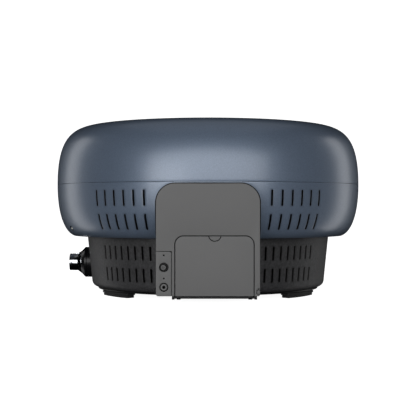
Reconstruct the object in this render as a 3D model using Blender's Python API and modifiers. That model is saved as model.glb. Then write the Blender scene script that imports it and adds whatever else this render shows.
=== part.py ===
"""A dome-shaped satellite positioning receiver: radome, vented shells, panel block, battery and electronics.

Metres, +Z up. The origin is on the dome's axis at the height of the feet's soles. The panel block and its
battery door face -Y, and the round connector faces -X.
"""

import math

import bmesh
import bpy
from mathutils import Matrix, Vector

# Overall sizes
DOME_RADIUS = 0.098
CROWN_Z = 0.1113
SEAM_Z = 0.0700
RIM_Z = 0.0373
RIM_RADIUS = DOME_RADIUS - 0.01065
BASE_TOP_RADIUS = DOME_RADIUS - 0.0194
BASE_TAPER = 0.0029
BASE_BOTTOM_Z = 0.0045
BASE_FILLET = 0.0041
WALL = 0.0026
GAP = 0.0003
FACETS = 90
FACET_DEG = 360 / FACETS

# Dome profile: crown, shoulder and underside curves
SHOULDER_RADIUS = DOME_RADIUS - 0.02617
SHOULDER_DROP = 0.00307
SHOULDER_SLOPE = 0.044
CROWN_HANDLE = 0.0239
SHOULDER_HANDLE = 0.0179
SEAM_HANDLE_UP = 0.0289
SEAM_HANDLE_DOWN = 0.0193
RIM_HANDLE = 0.0065
RIM_DIRECTION = (-0.930, -0.368)

# Pressure vent, low on the connector's side of the panel
VENT_DEG = 204
VENT_CURVE = 0.74
VENT_RADIUS = 0.0015

# Vent slots: angles are measured from -Y to either side, and again from +Y
SHELL_SLOT_ANGLES = range(22, 43, 4)
SHELL_SLOT_ROWS = ((0.0562, 0.0655), (0.0424, 0.0515))
SHELL_SLOT_WIDTH = 0.0012
BASE_SLOT_ANGLES = range(26, 55, 4)
BASE_SLOT_ROWS = ((0.0237, 0.0322), (0.0105, 0.0189))
BASE_SLOT_WIDTH = 0.0013

# Panel block
PANEL_Y = -DOME_RADIUS
PANEL_HALF_WIDTH = 0.0293
PANEL_BOTTOM_Z = 0.0053
PANEL_TOP_Z = SEAM_Z - 0.00025
PANEL_TOP_CORNER = 0.0108
PANEL_BOTTOM_CORNER = 0.0013
PANEL_BACK_Y = -DOME_RADIUS + 0.0275
PANEL_WALL = 0.0024
PANEL_SIDE_WALL = 0.0020
PANEL_CLEARANCE = 0.00045

# Battery door and its hinge
DOOR_LEFT = -0.01845
DOOR_RIGHT = 0.02575
DOOR_TOP_Z = 0.03905
DOOR_THICKNESS = 0.0022
DOOR_CORNER = 0.0046
DOOR_GAP = 0.00045
HINGE_Y = PANEL_Y + 0.0013
HINGE_Z = 0.0044
HINGE_PIN_RADIUS = 0.0006
HINGE_BORE_RADIUS = 0.00085
KNUCKLE_RADIUS = 0.00125
KNUCKLE_WIDTH = 0.0022
KNUCKLE_INSET = 0.0008
LUG_REACH = 0.0019
LUG_TOP_Z = 0.0064
LATCH_X = 0.00385
LATCH_RADIUS = 0.00372
LATCH_CENTRE_Z = DOOR_TOP_Z + 0.00072

# Port strip on the panel
PORT_X = -0.02485
PORT_PLATE_RIGHT = -0.0207
PORT_PLATE_TOP_Z = 0.0304
PORT_POCKET_DEPTH = 0.0014
PORT_PLATE_PROUD = 0.0003
BUTTON_Z = 0.0216
BUTTON_RADIUS = 0.00145
BUTTON_OFFSET = -0.0002
BUTTON_PROUD = 0.0026
BUTTON_TRAVEL = 0.0008
BUTTON_SHOULDER = 0.0014
BUTTON_SHOULDER_RADIUS = 0.0020
COLLAR_RADIUS = 0.00237
SOCKET_Z = 0.0104
SOCKET_RADIUS = 0.00225
LED_RADIUS = 0.0003
LED_HEIGHTS = {"status_led": 0.02835, "charge_led": 0.0153}

# Tether lug in the panel's lower corner
TETHER_X = 0.02845
TETHER_HALF_WIDTH = 0.0008
TETHER_SPAN = (0.0067, 0.0086)
TETHER_EYE = (0.00065, 0.00035)
TETHER_DEPTH = 0.0014

# Battery
BATTERY_X = 0.00365
BATTERY_WIDTH = 0.0384
BATTERY_HEIGHT = 0.0205
BATTERY_BOTTOM_Z = 0.0091
BATTERY_FRONT_Y = PANEL_Y + 0.0050
BATTERY_BACK_Y = -0.0222
BAY_WALL = 0.0012
BAY_CLEARANCE = 0.0004

# Round connector on the -X side
CONNECTOR_Z = 0.0196
CONNECTOR_RADIUS = 0.0055
CONNECTOR_FRONT = BASE_TOP_RADIUS + 0.0121
RING_RADIUS = 0.00985

# Underside
PLATE_Z = 0.0033
PLATE_THICKNESS = 0.0009
FOOT_OUTER_RADIUS = BASE_TOP_RADIUS - 0.0073
FOOT_WIDTH = 0.0072
FOOT_ANGLES = (38, 70)
POLE_SOCKET_RADIUS = 0.0080
POLE_INSERT_RADIUS = 0.0120
POLE_INSERT_TOP_Z = 0.0203
POLE_INSERT_ROOF = 0.0020
SCREW_ANGLES = (0, 70, 110, 180)
SCREW_RADIUS = 0.0012
SCREW_CIRCLE = FOOT_OUTER_RADIUS - FOOT_WIDTH / 2

# Electronics
BOARD_Z = 0.0520
BOARD_RADIUS = DOME_RADIUS - 0.0320
BOARD_THICKNESS = 0.0016
GROUND_PLANE_Z = 0.0740
GROUND_PLANE_RADIUS = DOME_RADIUS - 0.0160
FAN_Y = 0.0340
FAN_SIZE = 0.0400
FAN_TOP_Z = 0.0510
FAN_DEPTH = 0.0100


# ---------------------------------------------------------------- scene and materials


def clear_scene():
    for old in list(bpy.data.objects):
        bpy.data.objects.remove(old, do_unlink=True)


def linear(channel):
    """One sRGB channel from 0 to 255 as linear light."""
    value = channel / 255
    if value <= 0.04045:
        return value / 12.92
    return ((value + 0.055) / 1.055) ** 2.4


def paint(name, srgb, roughness, metallic=0.0):
    made = bpy.data.materials.new(name)
    made.use_nodes = True
    shader = made.node_tree.nodes["Principled BSDF"]
    colour = [linear(channel) for channel in srgb]
    shader.inputs["Base Color"].default_value = (*colour, 1.0)
    shader.inputs["Roughness"].default_value = roughness
    shader.inputs["Metallic"].default_value = metallic
    made.diffuse_color = (*colour, 1.0)
    return made


# ---------------------------------------------------------------- modelling helpers


def add_object(name, mesh):
    made = bpy.data.objects.new(name, mesh)
    RECEIVER.objects.link(made)
    return made


def evaluated_mesh(source):
    """The object's mesh with its modifiers, or its curve's solid with the caps welded on."""
    graph = bpy.context.evaluated_depsgraph_get()
    mesh = bpy.data.meshes.new_from_object(source.evaluated_get(graph))
    shape = bmesh.new()
    shape.from_mesh(mesh)
    bmesh.ops.remove_doubles(shape, verts=shape.verts, dist=1e-6)
    shape.to_mesh(mesh)
    shape.free()
    return mesh


def as_mesh(source):
    """Replaces an object by a mesh in world space, with its origin at the world's."""
    mesh = evaluated_mesh(source)
    mesh.transform(source.matrix_world)
    name = source.name
    bpy.data.objects.remove(source, do_unlink=True)
    return add_object(name, mesh)


def facing(direction, centre):
    """Turns local +Z to face along an axis and moves the origin to the centre."""
    turn = Vector(direction).to_track_quat("Z", "Y").to_matrix().to_4x4()
    return Matrix.Translation(centre) @ turn


def turned(name, profile, steps=48, closed=False, start_deg=0.0, direction=(0, 0, 1), centre=(0, 0, 0)):
    """A profile of (radius, height) points that runs down its outer side, turned about its axis."""
    angle = math.radians(start_deg)
    points = [(radius * math.cos(angle), radius * math.sin(angle), height) for radius, height in profile]
    edges = [(i, i + 1) for i in range(len(points) - 1)]
    if closed:
        edges.append((len(points) - 1, 0))
    mesh = bpy.data.meshes.new(name)
    mesh.from_pydata(points, edges, [])
    made = add_object(name, mesh)
    screw = made.modifiers.new("Turn", "SCREW")
    screw.steps = steps
    screw.render_steps = steps
    screw.use_merge_vertices = True
    screw.merge_threshold = 1e-6
    made.matrix_world = facing(direction, centre)
    bpy.context.view_layer.update()
    return as_mesh(made)


def box(name, low, high):
    shape = bmesh.new()
    bmesh.ops.create_cube(shape, size=1.0)
    low, high = Vector(low), Vector(high)
    bmesh.ops.scale(shape, vec=high - low, verts=shape.verts)
    bmesh.ops.translate(shape, vec=(low + high) / 2, verts=shape.verts)
    mesh = bpy.data.meshes.new(name)
    shape.to_mesh(mesh)
    shape.free()
    return add_object(name, mesh)


def cylinder(name, radius, start, end, segments=24):
    start, end = Vector(start), Vector(end)
    shape = bmesh.new()
    bmesh.ops.create_cone(
        shape, cap_ends=True, segments=segments, radius1=radius, radius2=radius, depth=(end - start).length
    )
    bmesh.ops.transform(shape, matrix=facing(end - start, (start + end) / 2), verts=shape.verts)
    mesh = bpy.data.meshes.new(name)
    shape.to_mesh(mesh)
    shape.free()
    return add_object(name, mesh)


def rounded(corners, segments=5):
    """A right-angled outline of (x, y, corner radius), anticlockwise, with an arc at each round corner."""
    points = []
    for index, (x, y, radius) in enumerate(corners):
        here = Vector((x, y))
        if radius == 0:
            points.append(here)
            continue
        into = (here - Vector(corners[index - 1][:2])).normalized()
        out = (Vector(corners[(index + 1) % len(corners)][:2]) - here).normalized()
        centre = here + (out - into) * radius
        for step in range(segments + 1):
            angle = math.radians(90 * step / segments)
            points.append(centre + (into * math.sin(angle) - out * math.cos(angle)) * radius)
    return points


def plate(name, outline, low, high, normal="-Y"):
    """A flat outline given some thickness, from low to high along the axis that it faces."""
    curve = bpy.data.curves.new(name, "CURVE")
    curve.dimensions = "2D"
    curve.fill_mode = "BOTH"
    curve.extrude = (high - low) / 2
    spline = curve.splines.new("POLY")
    spline.points.add(len(outline) - 1)
    for point, (x, y) in zip(spline.points, outline):
        point.co = (x, y, 0, 1)
    spline.use_cyclic_u = True
    made = bpy.data.objects.new(name, curve)
    RECEIVER.objects.link(made)
    middle = (low + high) / 2
    if normal == "-Y":
        made.matrix_world = Matrix.Translation((0, middle, 0)) @ Matrix.Rotation(math.radians(90), 4, "X")
    else:
        made.matrix_world = Matrix.Translation((0, 0, middle))
    bpy.context.view_layer.update()
    return as_mesh(made)


def combine(part, other, operation):
    boolean = part.modifiers.new(operation, "BOOLEAN")
    boolean.object = other
    boolean.operation = operation
    boolean.solver = "EXACT"
    mesh = evaluated_mesh(part)
    part.modifiers.clear()
    part.data = mesh
    bpy.data.objects.remove(other, do_unlink=True)
    return part


def cut(part, *cutters):
    for cutter in cutters:
        combine(part, cutter, "DIFFERENCE")
    return part


def join(part, *others):
    for other in others:
        combine(part, other, "UNION")
    return part


def finish(part, colour, origin=None):
    """Gives a part its material and shading, and its origin on its joint where it moves."""
    part.data.materials.clear()
    part.data.materials.append(colour)
    for face in part.data.polygons:
        face.material_index = 0
    part.data.shade_smooth()
    part.data.set_sharp_from_angle(angle=math.radians(30))
    if origin is not None:
        part.data.transform(Matrix.Translation(-Vector(origin)))
        part.location = origin
    return part


def bezier(start, handle, other_handle, end, t):
    """A point and its direction on a cubic curve of (radius, height) points."""
    weights = ((1 - t) ** 3, 3 * t * (1 - t) ** 2, 3 * t * t * (1 - t), t**3)
    point = [sum(w * p[axis] for w, p in zip(weights, (start, handle, other_handle, end))) for axis in (0, 1)]
    steps = ((1 - t) ** 2, 2 * t * (1 - t), t * t)
    legs = zip((start, handle, other_handle), (handle, other_handle, end))
    direction = Vector((0, 0))
    for step, (a, b) in zip(steps, legs):
        direction += Vector((b[0] - a[0], b[1] - a[1])) * step
    return Vector(point), direction.normalized()


def offset(samples, distance):
    """The same curve moved inwards, for a wall of even thickness."""
    return [tuple(point + Vector((along.y, -along.x)) * distance) for point, along in samples]


def mirrored_angles(angles):
    """Slot directions to both sides of -Y and of +Y, in degrees from +X."""
    return [middle + side * angle for middle in (270, 90) for side in (-1, 1) for angle in angles]


def slot_cutters(name, angles, rows, width, inner, outer):
    """One upright box through the wall for each slot."""
    shape = bmesh.new()
    for angle in mirrored_angles(angles):
        for low, high in rows:
            place = Matrix.Rotation(math.radians(angle), 4, "Z")
            place @= Matrix.Translation(((inner + outer) / 2, 0, (low + high) / 2))
            place @= Matrix.Diagonal((outer - inner, width, high - low, 1))
            bmesh.ops.create_cube(shape, size=1.0, matrix=place)
    mesh = bpy.data.meshes.new(name)
    shape.to_mesh(mesh)
    shape.free()
    return add_object(name, mesh)


# ---------------------------------------------------------------- shells


def crown_and_shoulder():
    crown = ((0, CROWN_Z), (CROWN_HANDLE, CROWN_Z))
    shoulder = (SHOULDER_RADIUS, CROWN_Z - SHOULDER_DROP)
    before = (shoulder[0] - CROWN_HANDLE, shoulder[1] + CROWN_HANDLE * SHOULDER_SLOPE)
    after = (shoulder[0] + SHOULDER_HANDLE, shoulder[1] - SHOULDER_HANDLE * SHOULDER_SLOPE)
    side = ((DOME_RADIUS, SEAM_Z + SEAM_HANDLE_UP), (DOME_RADIUS, SEAM_Z + GAP / 2))
    top = [bezier(*crown, before, shoulder, t) for t in (0, 0.45, 0.8, 1)]
    return top + [bezier(shoulder, after, *side, t) for t in (0.2, 0.38, 0.54, 0.7, 0.84, 1)]


def underside_curve(t):
    handle = (RIM_RADIUS - RIM_DIRECTION[0] * RIM_HANDLE, RIM_Z - RIM_DIRECTION[1] * RIM_HANDLE)
    seam = (DOME_RADIUS, SEAM_Z - GAP / 2)
    return bezier(seam, (DOME_RADIUS, SEAM_Z - SEAM_HANDLE_DOWN), handle, (RIM_RADIUS, RIM_Z), t)


def top_dome():
    outer = crown_and_shoulder()
    inner = offset(outer, WALL)[::-1]
    inner[0] = (inner[0][0], outer[-1][0].y)
    inner[-1] = (0, inner[-1][1])
    profile = [tuple(point) for point, along in outer] + inner
    return finish(turned("top_dome", profile, steps=60), DOME_PAINT)


def panel_outline(grow=0.0):
    side = PANEL_HALF_WIDTH + grow
    return rounded(
        (
            (-side, PANEL_BOTTOM_Z - grow, PANEL_BOTTOM_CORNER + grow),
            (side, PANEL_BOTTOM_Z - grow, PANEL_BOTTOM_CORNER + grow),
            (side, PANEL_TOP_Z + grow, PANEL_TOP_CORNER + grow),
            (-side, PANEL_TOP_Z + grow, PANEL_TOP_CORNER + grow),
        )
    )


def panel_notch(name):
    """The panel block's way through a shell, open towards the front."""
    return plate(name, panel_outline(PANEL_CLEARANCE), PANEL_Y - 0.02, PANEL_BACK_Y + 0.012)


def lower_shell():
    outer = [underside_curve(t) for t in (0, 0.25, 0.5, 0.72, 0.88, 1)]
    floor_radius = BASE_TOP_RADIUS - 0.0206
    inner = offset(outer, WALL)[::-1]
    profile = [tuple(point) for point, along in outer]
    profile += [(floor_radius, RIM_Z), (floor_radius, inner[0][1])]
    profile += inner[:-1] + [(inner[-1][0], outer[0][0].y)]
    shell = turned("lower_shell", profile, FACETS, True, FACET_DEG / 2)
    reach = (RIM_RADIUS - 0.004, DOME_RADIUS + 0.004)
    slots = slot_cutters("slots", SHELL_SLOT_ANGLES, SHELL_SLOT_ROWS, SHELL_SLOT_WIDTH, *reach)
    point, normal = vent_seat()
    hole = cylinder("hole", VENT_RADIUS + GAP, point + normal * 0.004, point - normal * 0.006, 16)
    return finish(cut(shell, panel_notch("notch"), slots, hole), DOME_PAINT)


def vent_seat():
    """The place and outward direction of the pressure vent, low on the -X side of the panel."""
    point, along = underside_curve(VENT_CURVE)
    angle = math.radians(VENT_DEG)
    outwards = Vector((math.cos(angle), math.sin(angle), 0))
    place = outwards * point.x + Vector((0, 0, point.y))
    normal = outwards * -along.y + Vector((0, 0, along.x))
    return place, normal


def vent_plug():
    point, normal = vent_seat()
    plug = cylinder("vent_plug", VENT_RADIUS, point - normal * 0.0028, point - normal * 0.0002, 16)
    return finish(plug, SILVER)


def seam_band():
    """A sealing band behind the seam, cut away over the panel block."""
    outer = DOME_RADIUS - WALL - 0.0005
    profile = ((outer, SEAM_Z + 0.0025), (outer, SEAM_Z - 0.0025))
    profile += ((outer - 0.0014, SEAM_Z - 0.0025), (outer - 0.0014, SEAM_Z + 0.0025))
    band = turned("seam_band", profile, 45, True)
    return finish(cut(band, panel_notch("notch")), RUBBER)


def base_housing():
    bottom_radius = BASE_TOP_RADIUS - BASE_TAPER
    top_z = RIM_Z - GAP
    flange_z = BASE_BOTTOM_Z + 0.0018
    centre = (bottom_radius - BASE_FILLET, BASE_BOTTOM_Z + BASE_FILLET)
    profile = [(BASE_TOP_RADIUS, top_z)]
    for angle in (0, 30, 60, 90):
        turn = math.radians(angle)
        profile.append((centre[0] + BASE_FILLET * math.cos(turn), centre[1] - BASE_FILLET * math.sin(turn)))
    profile += [(FOOT_OUTER_RADIUS - FOOT_WIDTH - 0.0006, BASE_BOTTOM_Z)]
    profile += [(FOOT_OUTER_RADIUS - FOOT_WIDTH - 0.0006, flange_z), (centre[0], flange_z)]
    profile += [(bottom_radius - WALL, flange_z + 0.0022), (BASE_TOP_RADIUS - WALL, top_z)]
    base = turned("base_housing", profile, FACETS, True, FACET_DEG / 2)
    window = box(
        "window",
        (-PANEL_HALF_WIDTH - PANEL_CLEARANCE, PANEL_Y - 0.01, BASE_BOTTOM_Z - 0.001),
        (PANEL_HALF_WIDTH + PANEL_CLEARANCE, PANEL_BACK_Y + 0.020, RIM_Z + 0.001),
    )
    reach = (BASE_TOP_RADIUS - 0.009, BASE_TOP_RADIUS + 0.004)
    slots = slot_cutters("slots", BASE_SLOT_ANGLES, BASE_SLOT_ROWS, BASE_SLOT_WIDTH, *reach)
    outlet = (-BASE_TOP_RADIUS - 0.004, 0, CONNECTOR_Z)
    seat = cylinder("seat", RING_RADIUS + GAP, outlet, (-BASE_TOP_RADIUS + 0.010, 0, CONNECTOR_Z), 36)
    holes = [screw_hole(index) for index in range(len(SCREW_ANGLES))]
    return finish(cut(base, window, slots, seat, *holes), BASE_PLASTIC)


# ---------------------------------------------------------------- underside


def on_circle(radius, degrees, z):
    angle = math.radians(degrees)
    return Vector((radius * math.cos(angle), radius * math.sin(angle), z))


def screw_hole(index):
    bottom = on_circle(SCREW_CIRCLE, SCREW_ANGLES[index], 0.001)
    top = on_circle(SCREW_CIRCLE, SCREW_ANGLES[index], 0.009)
    return cylinder(f"hole_{index}", SCREW_RADIUS + GAP, bottom, top, 12)


def bottom_plate():
    radius = FOOT_OUTER_RADIUS + 0.0003
    top_z = PLATE_Z + PLATE_THICKNESS
    inner = POLE_INSERT_RADIUS + GAP
    profile = ((radius, top_z), (radius, PLATE_Z), (inner, PLATE_Z), (inner, top_z))
    holes = [screw_hole(index) for index in range(len(SCREW_ANGLES))]
    return finish(cut(turned("bottom_plate", profile, 48, True), *holes), BLACK_PLASTIC)


def bottom_screws():
    head_z = PLATE_Z - GAP
    for index, angle in enumerate(SCREW_ANGLES):
        profile = ((0, 0.0060), (SCREW_RADIUS, 0.0060), (SCREW_RADIUS, head_z), (0.0024, head_z))
        profile += ((0.0024, head_z - 0.0006), (0.0016, head_z - 0.0011), (0, head_z - 0.0011))
        centre = on_circle(SCREW_CIRCLE, angle, 0)
        finish(turned(f"bottom_screw_{index + 1}", profile, 12, centre=centre), SILVER)


def arc_outline(inner, outer, start, end, segments=8):
    angles = [start + (end - start) * step / segments for step in range(segments + 1)]
    points = [on_circle(outer, angle, 0).xy for angle in angles]
    return points + [on_circle(inner, angle, 0).xy for angle in reversed(angles)]


def feet():
    low, high = FOOT_ANGLES
    spans = ((270 - high, 270 - low), (270 + low, 270 + high), (90 - high, 90 - low), (90 + low, 90 + high))
    for index, (start, end) in enumerate(spans):
        outer, inner = FOOT_OUTER_RADIUS, FOOT_OUTER_RADIUS - FOOT_WIDTH
        holder = arc_outline(inner, outer, start, end)
        sole = arc_outline(inner + 0.0007, outer - 0.0007, start + 0.6, end - 0.6)
        foot = plate(f"foot_{index + 1}", holder, 0.0017, PLATE_Z - GAP, "+Z")
        finish(join(foot, plate("sole", sole, 0, 0.0022, "+Z")), RUBBER)


def pole_insert():
    profile = ((0, POLE_INSERT_TOP_Z), (POLE_INSERT_RADIUS, POLE_INSERT_TOP_Z), (POLE_INSERT_RADIUS, PLATE_Z))
    profile += ((POLE_SOCKET_RADIUS, PLATE_Z), (POLE_SOCKET_RADIUS, POLE_INSERT_TOP_Z - POLE_INSERT_ROOF))
    profile += ((0, POLE_INSERT_TOP_Z - POLE_INSERT_ROOF),)
    return finish(turned("pole_insert", profile, 36), BRASS)


# ---------------------------------------------------------------- panel block


def bar_along_x(name, left, right, radius, segments=16):
    return cylinder(name, radius, (left, HINGE_Y, HINGE_Z), (right, HINGE_Y, HINGE_Z), segments)


def hinge_lug(name, left, right, top_z):
    """A round eye below a flat web that reaches up into the part it belongs to."""
    half = KNUCKLE_RADIUS - 0.00005
    web = box("web", (left, HINGE_Y - half, HINGE_Z), (right, HINGE_Y + half, top_z))
    return join(bar_along_x(name, left, right, KNUCKLE_RADIUS), web)


def hole_along_y(x, z, radius, front, back, segments=20):
    return cylinder("hole", radius, (x, front, z), (x, back, z), segments)


def rear_housing():
    block = plate("rear_housing", panel_outline(), PANEL_Y, PANEL_BACK_Y)
    cavity = box(
        "cavity",
        (-PANEL_HALF_WIDTH + PANEL_SIDE_WALL, PANEL_Y + PANEL_WALL, PANEL_BOTTOM_Z + PANEL_SIDE_WALL),
        (PANEL_HALF_WIDTH - PANEL_SIDE_WALL, PANEL_BACK_Y + 0.01, PANEL_TOP_Z - PANEL_TOP_CORNER),
    )
    attic = box(
        "attic",
        (-PANEL_HALF_WIDTH + PANEL_TOP_CORNER, PANEL_Y + PANEL_WALL, PANEL_TOP_Z - PANEL_TOP_CORNER - 0.001),
        (PANEL_HALF_WIDTH - PANEL_TOP_CORNER, PANEL_BACK_Y + 0.01, PANEL_TOP_Z - PANEL_WALL),
    )
    opening = plate("opening", door_outline(DOOR_GAP), PANEL_Y - 0.01, PANEL_Y + 0.01)
    pocket = box(
        "pocket",
        (-PANEL_HALF_WIDTH - 0.01, PANEL_Y - 0.01, PANEL_BOTTOM_Z - 0.01),
        (PORT_PLATE_RIGHT + GAP, PANEL_Y + PORT_POCKET_DEPTH, PORT_PLATE_TOP_Z + GAP),
    )
    cut(block, cavity, attic, opening, pocket)
    left_lug = hinge_lug("lug", DOOR_LEFT - LUG_REACH, DOOR_LEFT - DOOR_GAP, LUG_TOP_Z)
    right_lug = hinge_lug("lug", DOOR_RIGHT + DOOR_GAP, DOOR_RIGHT + LUG_REACH, LUG_TOP_Z)
    join(block, left_lug, right_lug)
    pin_way = bar_along_x("pin_way", DOOR_LEFT - 0.01, DOOR_RIGHT + 0.01, HINGE_BORE_RADIUS, 12)
    front, back = PANEL_Y - 0.01, PANEL_Y + 0.006
    holes = [hole_along_y(PORT_X + BUTTON_OFFSET, BUTTON_Z, BUTTON_RADIUS + GAP, front, back)]
    holes.append(hole_along_y(PORT_X, SOCKET_Z, SOCKET_RADIUS + GAP, front, back))
    for height in LED_HEIGHTS.values():
        holes.append(hole_along_y(PORT_X, height, LED_RADIUS + GAP, front, back, 10))
    lug_seat = plate("seat", tether_outline(GAP), PANEL_Y - 0.01, PANEL_Y + TETHER_DEPTH)
    eye = plate("eye", tether_eye_outline(), PANEL_Y - 0.01, PANEL_Y + TETHER_DEPTH)
    return finish(cut(block, pin_way, *holes, lug_seat, eye), PANEL_PAINT)


def tether_outline(grow=0.0):
    left, right = TETHER_X - TETHER_HALF_WIDTH - grow, TETHER_X + TETHER_HALF_WIDTH + grow
    low, high = TETHER_SPAN[0] - grow, TETHER_SPAN[1] + grow
    corner = 0.0004
    return rounded(((left, low, corner), (right, low, corner), (right, high, corner), (left, high, corner)), 2)


def tether_eye_outline():
    """A flat oval eye just above the tether's lug."""
    across, up = TETHER_EYE
    centre_z = TETHER_SPAN[1] + GAP + up + 0.00025
    turns = [math.radians(30 * step) for step in range(12)]
    return [(TETHER_X + across * math.cos(turn), centre_z + up * math.sin(turn)) for turn in turns]


def tether_lug():
    back = PANEL_Y + TETHER_DEPTH - GAP
    return finish(plate("tether_lug", tether_outline(), PANEL_Y - 0.0006, back), PANEL_PAINT)


def port_plate():
    left, right = -PANEL_HALF_WIDTH, PORT_PLATE_RIGHT
    low, high = PANEL_BOTTOM_Z, PORT_PLATE_TOP_Z
    outline = rounded(
        ((left, low, PANEL_BOTTOM_CORNER), (right, low, 0), (right, high, 0.0012), (left, high, 0)), 4
    )
    front, back = PANEL_Y - PORT_PLATE_PROUD, PANEL_Y + PORT_POCKET_DEPTH - GAP
    strip = plate("port_plate", outline, front, back)
    ends = (front - 0.001, back + 0.001)
    holes = [hole_along_y(PORT_X, BUTTON_Z, COLLAR_RADIUS + GAP, *ends, 24)]
    holes.append(hole_along_y(PORT_X, SOCKET_Z, SOCKET_RADIUS + GAP, *ends, 24))
    for height in LED_HEIGHTS.values():
        holes.append(hole_along_y(PORT_X, height, LED_RADIUS + GAP / 2, *ends, 10))
    return finish(cut(strip, *holes), PANEL_PAINT)


def button_collar():
    front, back = PANEL_Y - PORT_PLATE_PROUD - 0.0002, PANEL_Y + PORT_POCKET_DEPTH - GAP
    ring = cylinder("button_collar", COLLAR_RADIUS, (PORT_X, front, BUTTON_Z), (PORT_X, back, BUTTON_Z), 24)
    bore = hole_along_y(PORT_X + BUTTON_OFFSET, BUTTON_Z, BUTTON_RADIUS + GAP, front - 0.001, back + 0.001)
    return finish(cut(ring, bore), RUBBER)


def power_button():
    """A round push rod with a dimpled face, and a shoulder behind the wall that stops it."""
    front = BUTTON_PROUD
    shoulder = -PANEL_WALL - GAP
    tail = shoulder - BUTTON_SHOULDER
    profile = ((0, front - 0.0004), (0.0005, front), (BUTTON_RADIUS - 0.0003, front))
    profile += ((BUTTON_RADIUS, front - 0.0003), (BUTTON_RADIUS, shoulder))
    profile += ((BUTTON_SHOULDER_RADIUS, shoulder), (BUTTON_SHOULDER_RADIUS, tail), (0, tail))
    centre = (PORT_X + BUTTON_OFFSET, PANEL_Y, BUTTON_Z)
    button = turned("power_button", profile, 20, direction=(0, -1, 0), centre=centre)
    return finish(button, PANEL_PAINT, centre)


def button_switch():
    front = PANEL_Y + PANEL_WALL + GAP + BUTTON_SHOULDER + BUTTON_TRAVEL + GAP
    half = 0.0022
    low = (PORT_X - half, front, BUTTON_Z - half)
    return finish(box("button_switch", low, (PORT_X + half, front + 0.0040, BUTTON_Z + half)), BLACK_PLASTIC)


def status_lights():
    for name, height in LED_HEIGHTS.items():
        front, back = (PORT_X, PANEL_Y + 0.0001, height), (PORT_X, PANEL_Y + 0.0050, height)
        finish(cylinder(name, LED_RADIUS, front, back, 10), LENS)


def charge_socket():
    """The round power inlet: a black body flush with the strip."""
    front, back = PORT_PLATE_PROUD, -0.0095
    profile = ((0, back + 0.0012), (0.0019, back + 0.0012), (0.0019, front), (SOCKET_RADIUS, front))
    profile += ((SOCKET_RADIUS, back), (0, back))
    centre = (PORT_X, PANEL_Y, SOCKET_Z)
    return finish(turned("charge_socket", profile, 24, direction=(0, -1, 0), centre=centre), BLACK_PLASTIC)


def charge_sleeve():
    """The metal sleeve in the inlet, with the bore that takes the plug."""
    front, back = PORT_PLATE_PROUD - 0.0001, -0.0080
    profile = ((0.00085, front), (0.0016, front), (0.0016, back), (0.00085, back))
    centre = (PORT_X, PANEL_Y, SOCKET_Z)
    return finish(turned("charge_sleeve", profile, 20, True, direction=(0, -1, 0), centre=centre), SILVER)


# ---------------------------------------------------------------- battery door


def door_outline(grow=0.0):
    left, right = DOOR_LEFT - grow, DOOR_RIGHT + grow
    low = PANEL_BOTTOM_Z - (0.01 if grow else 0)
    top, corner = DOOR_TOP_Z + grow, DOOR_CORNER + grow
    return rounded(((left, low, 0), (right, low, 0), (right, top, corner), (left, top, corner)))


def battery_door():
    door = plate("battery_door", door_outline(), PANEL_Y, PANEL_Y + DOOR_THICKNESS)
    for left in (DOOR_LEFT + KNUCKLE_INSET, DOOR_RIGHT - KNUCKLE_INSET - KNUCKLE_WIDTH):
        join(door, hinge_lug("knuckle", left, left + KNUCKLE_WIDTH, LUG_TOP_Z))
    pin_way = bar_along_x("pin_way", DOOR_LEFT - 0.01, DOOR_RIGHT + 0.01, HINGE_BORE_RADIUS, 12)
    front, back = (LATCH_X, PANEL_Y - 0.01, LATCH_CENTRE_Z), (LATCH_X, PANEL_Y + 0.01, LATCH_CENTRE_Z)
    scoop = cylinder("scoop", LATCH_RADIUS, front, back, 36)
    return finish(cut(door, pin_way, scoop), PANEL_PAINT, (0, HINGE_Y, HINGE_Z))


def door_latch():
    """The half-moon thumb piece in the door's top edge."""
    radius = LATCH_RADIUS - 0.0004
    reach = math.acos((LATCH_CENTRE_Z - DOOR_TOP_Z) / radius)
    turns = [reach * (step / 7 - 1) for step in range(15)]
    outline = [(LATCH_X + radius * math.sin(t), LATCH_CENTRE_Z - radius * math.cos(t)) for t in turns]
    latch = plate("door_latch", outline, PANEL_Y, PANEL_Y + 0.0024)
    return finish(latch, PANEL_PAINT, (LATCH_X, PANEL_Y, DOOR_TOP_Z - 0.0015))


def door_hinge_pin():
    left, right = DOOR_LEFT - LUG_REACH + 0.0001, DOOR_RIGHT + LUG_REACH - 0.0001
    return finish(bar_along_x("door_hinge_pin", left, right, HINGE_PIN_RADIUS, 12), BLACK_METAL)


def door_seal():
    """The rubber ring behind the door, around the battery's mouth."""
    left, right = DOOR_LEFT + 0.0012, DOOR_RIGHT - 0.0012
    low, high = 0.0080, DOOR_TOP_Z - 0.0038
    width = 0.0012
    front, back = PANEL_Y + DOOR_THICKNESS + GAP, PANEL_Y + DOOR_THICKNESS + 0.0012
    outline = rounded(((left, low, 0.003), (right, low, 0.003), (right, high, 0.003), (left, high, 0.003)))
    seal = plate("door_seal", outline, front, back)
    left, right, low, high = left + width, right - width, low + width, high - width
    inside = rounded(((left, low, 0.002), (right, low, 0.002), (right, high, 0.002), (left, high, 0.002)))
    return finish(cut(seal, plate("inside", inside, front - 0.001, back + 0.001)), RUBBER)


def door_pad():
    """A foam pad that holds the battery steady when the door is shut."""
    front, back = PANEL_Y + DOOR_THICKNESS + GAP, BATTERY_FRONT_Y - 0.0010
    low = (BATTERY_X - 0.0150, front, BATTERY_BOTTOM_Z + 0.0020)
    high = (BATTERY_X + 0.0150, back, BATTERY_BOTTOM_Z + BATTERY_HEIGHT - 0.0020)
    return finish(box("door_pad", low, high), RUBBER)


# ---------------------------------------------------------------- battery and cards


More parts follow.
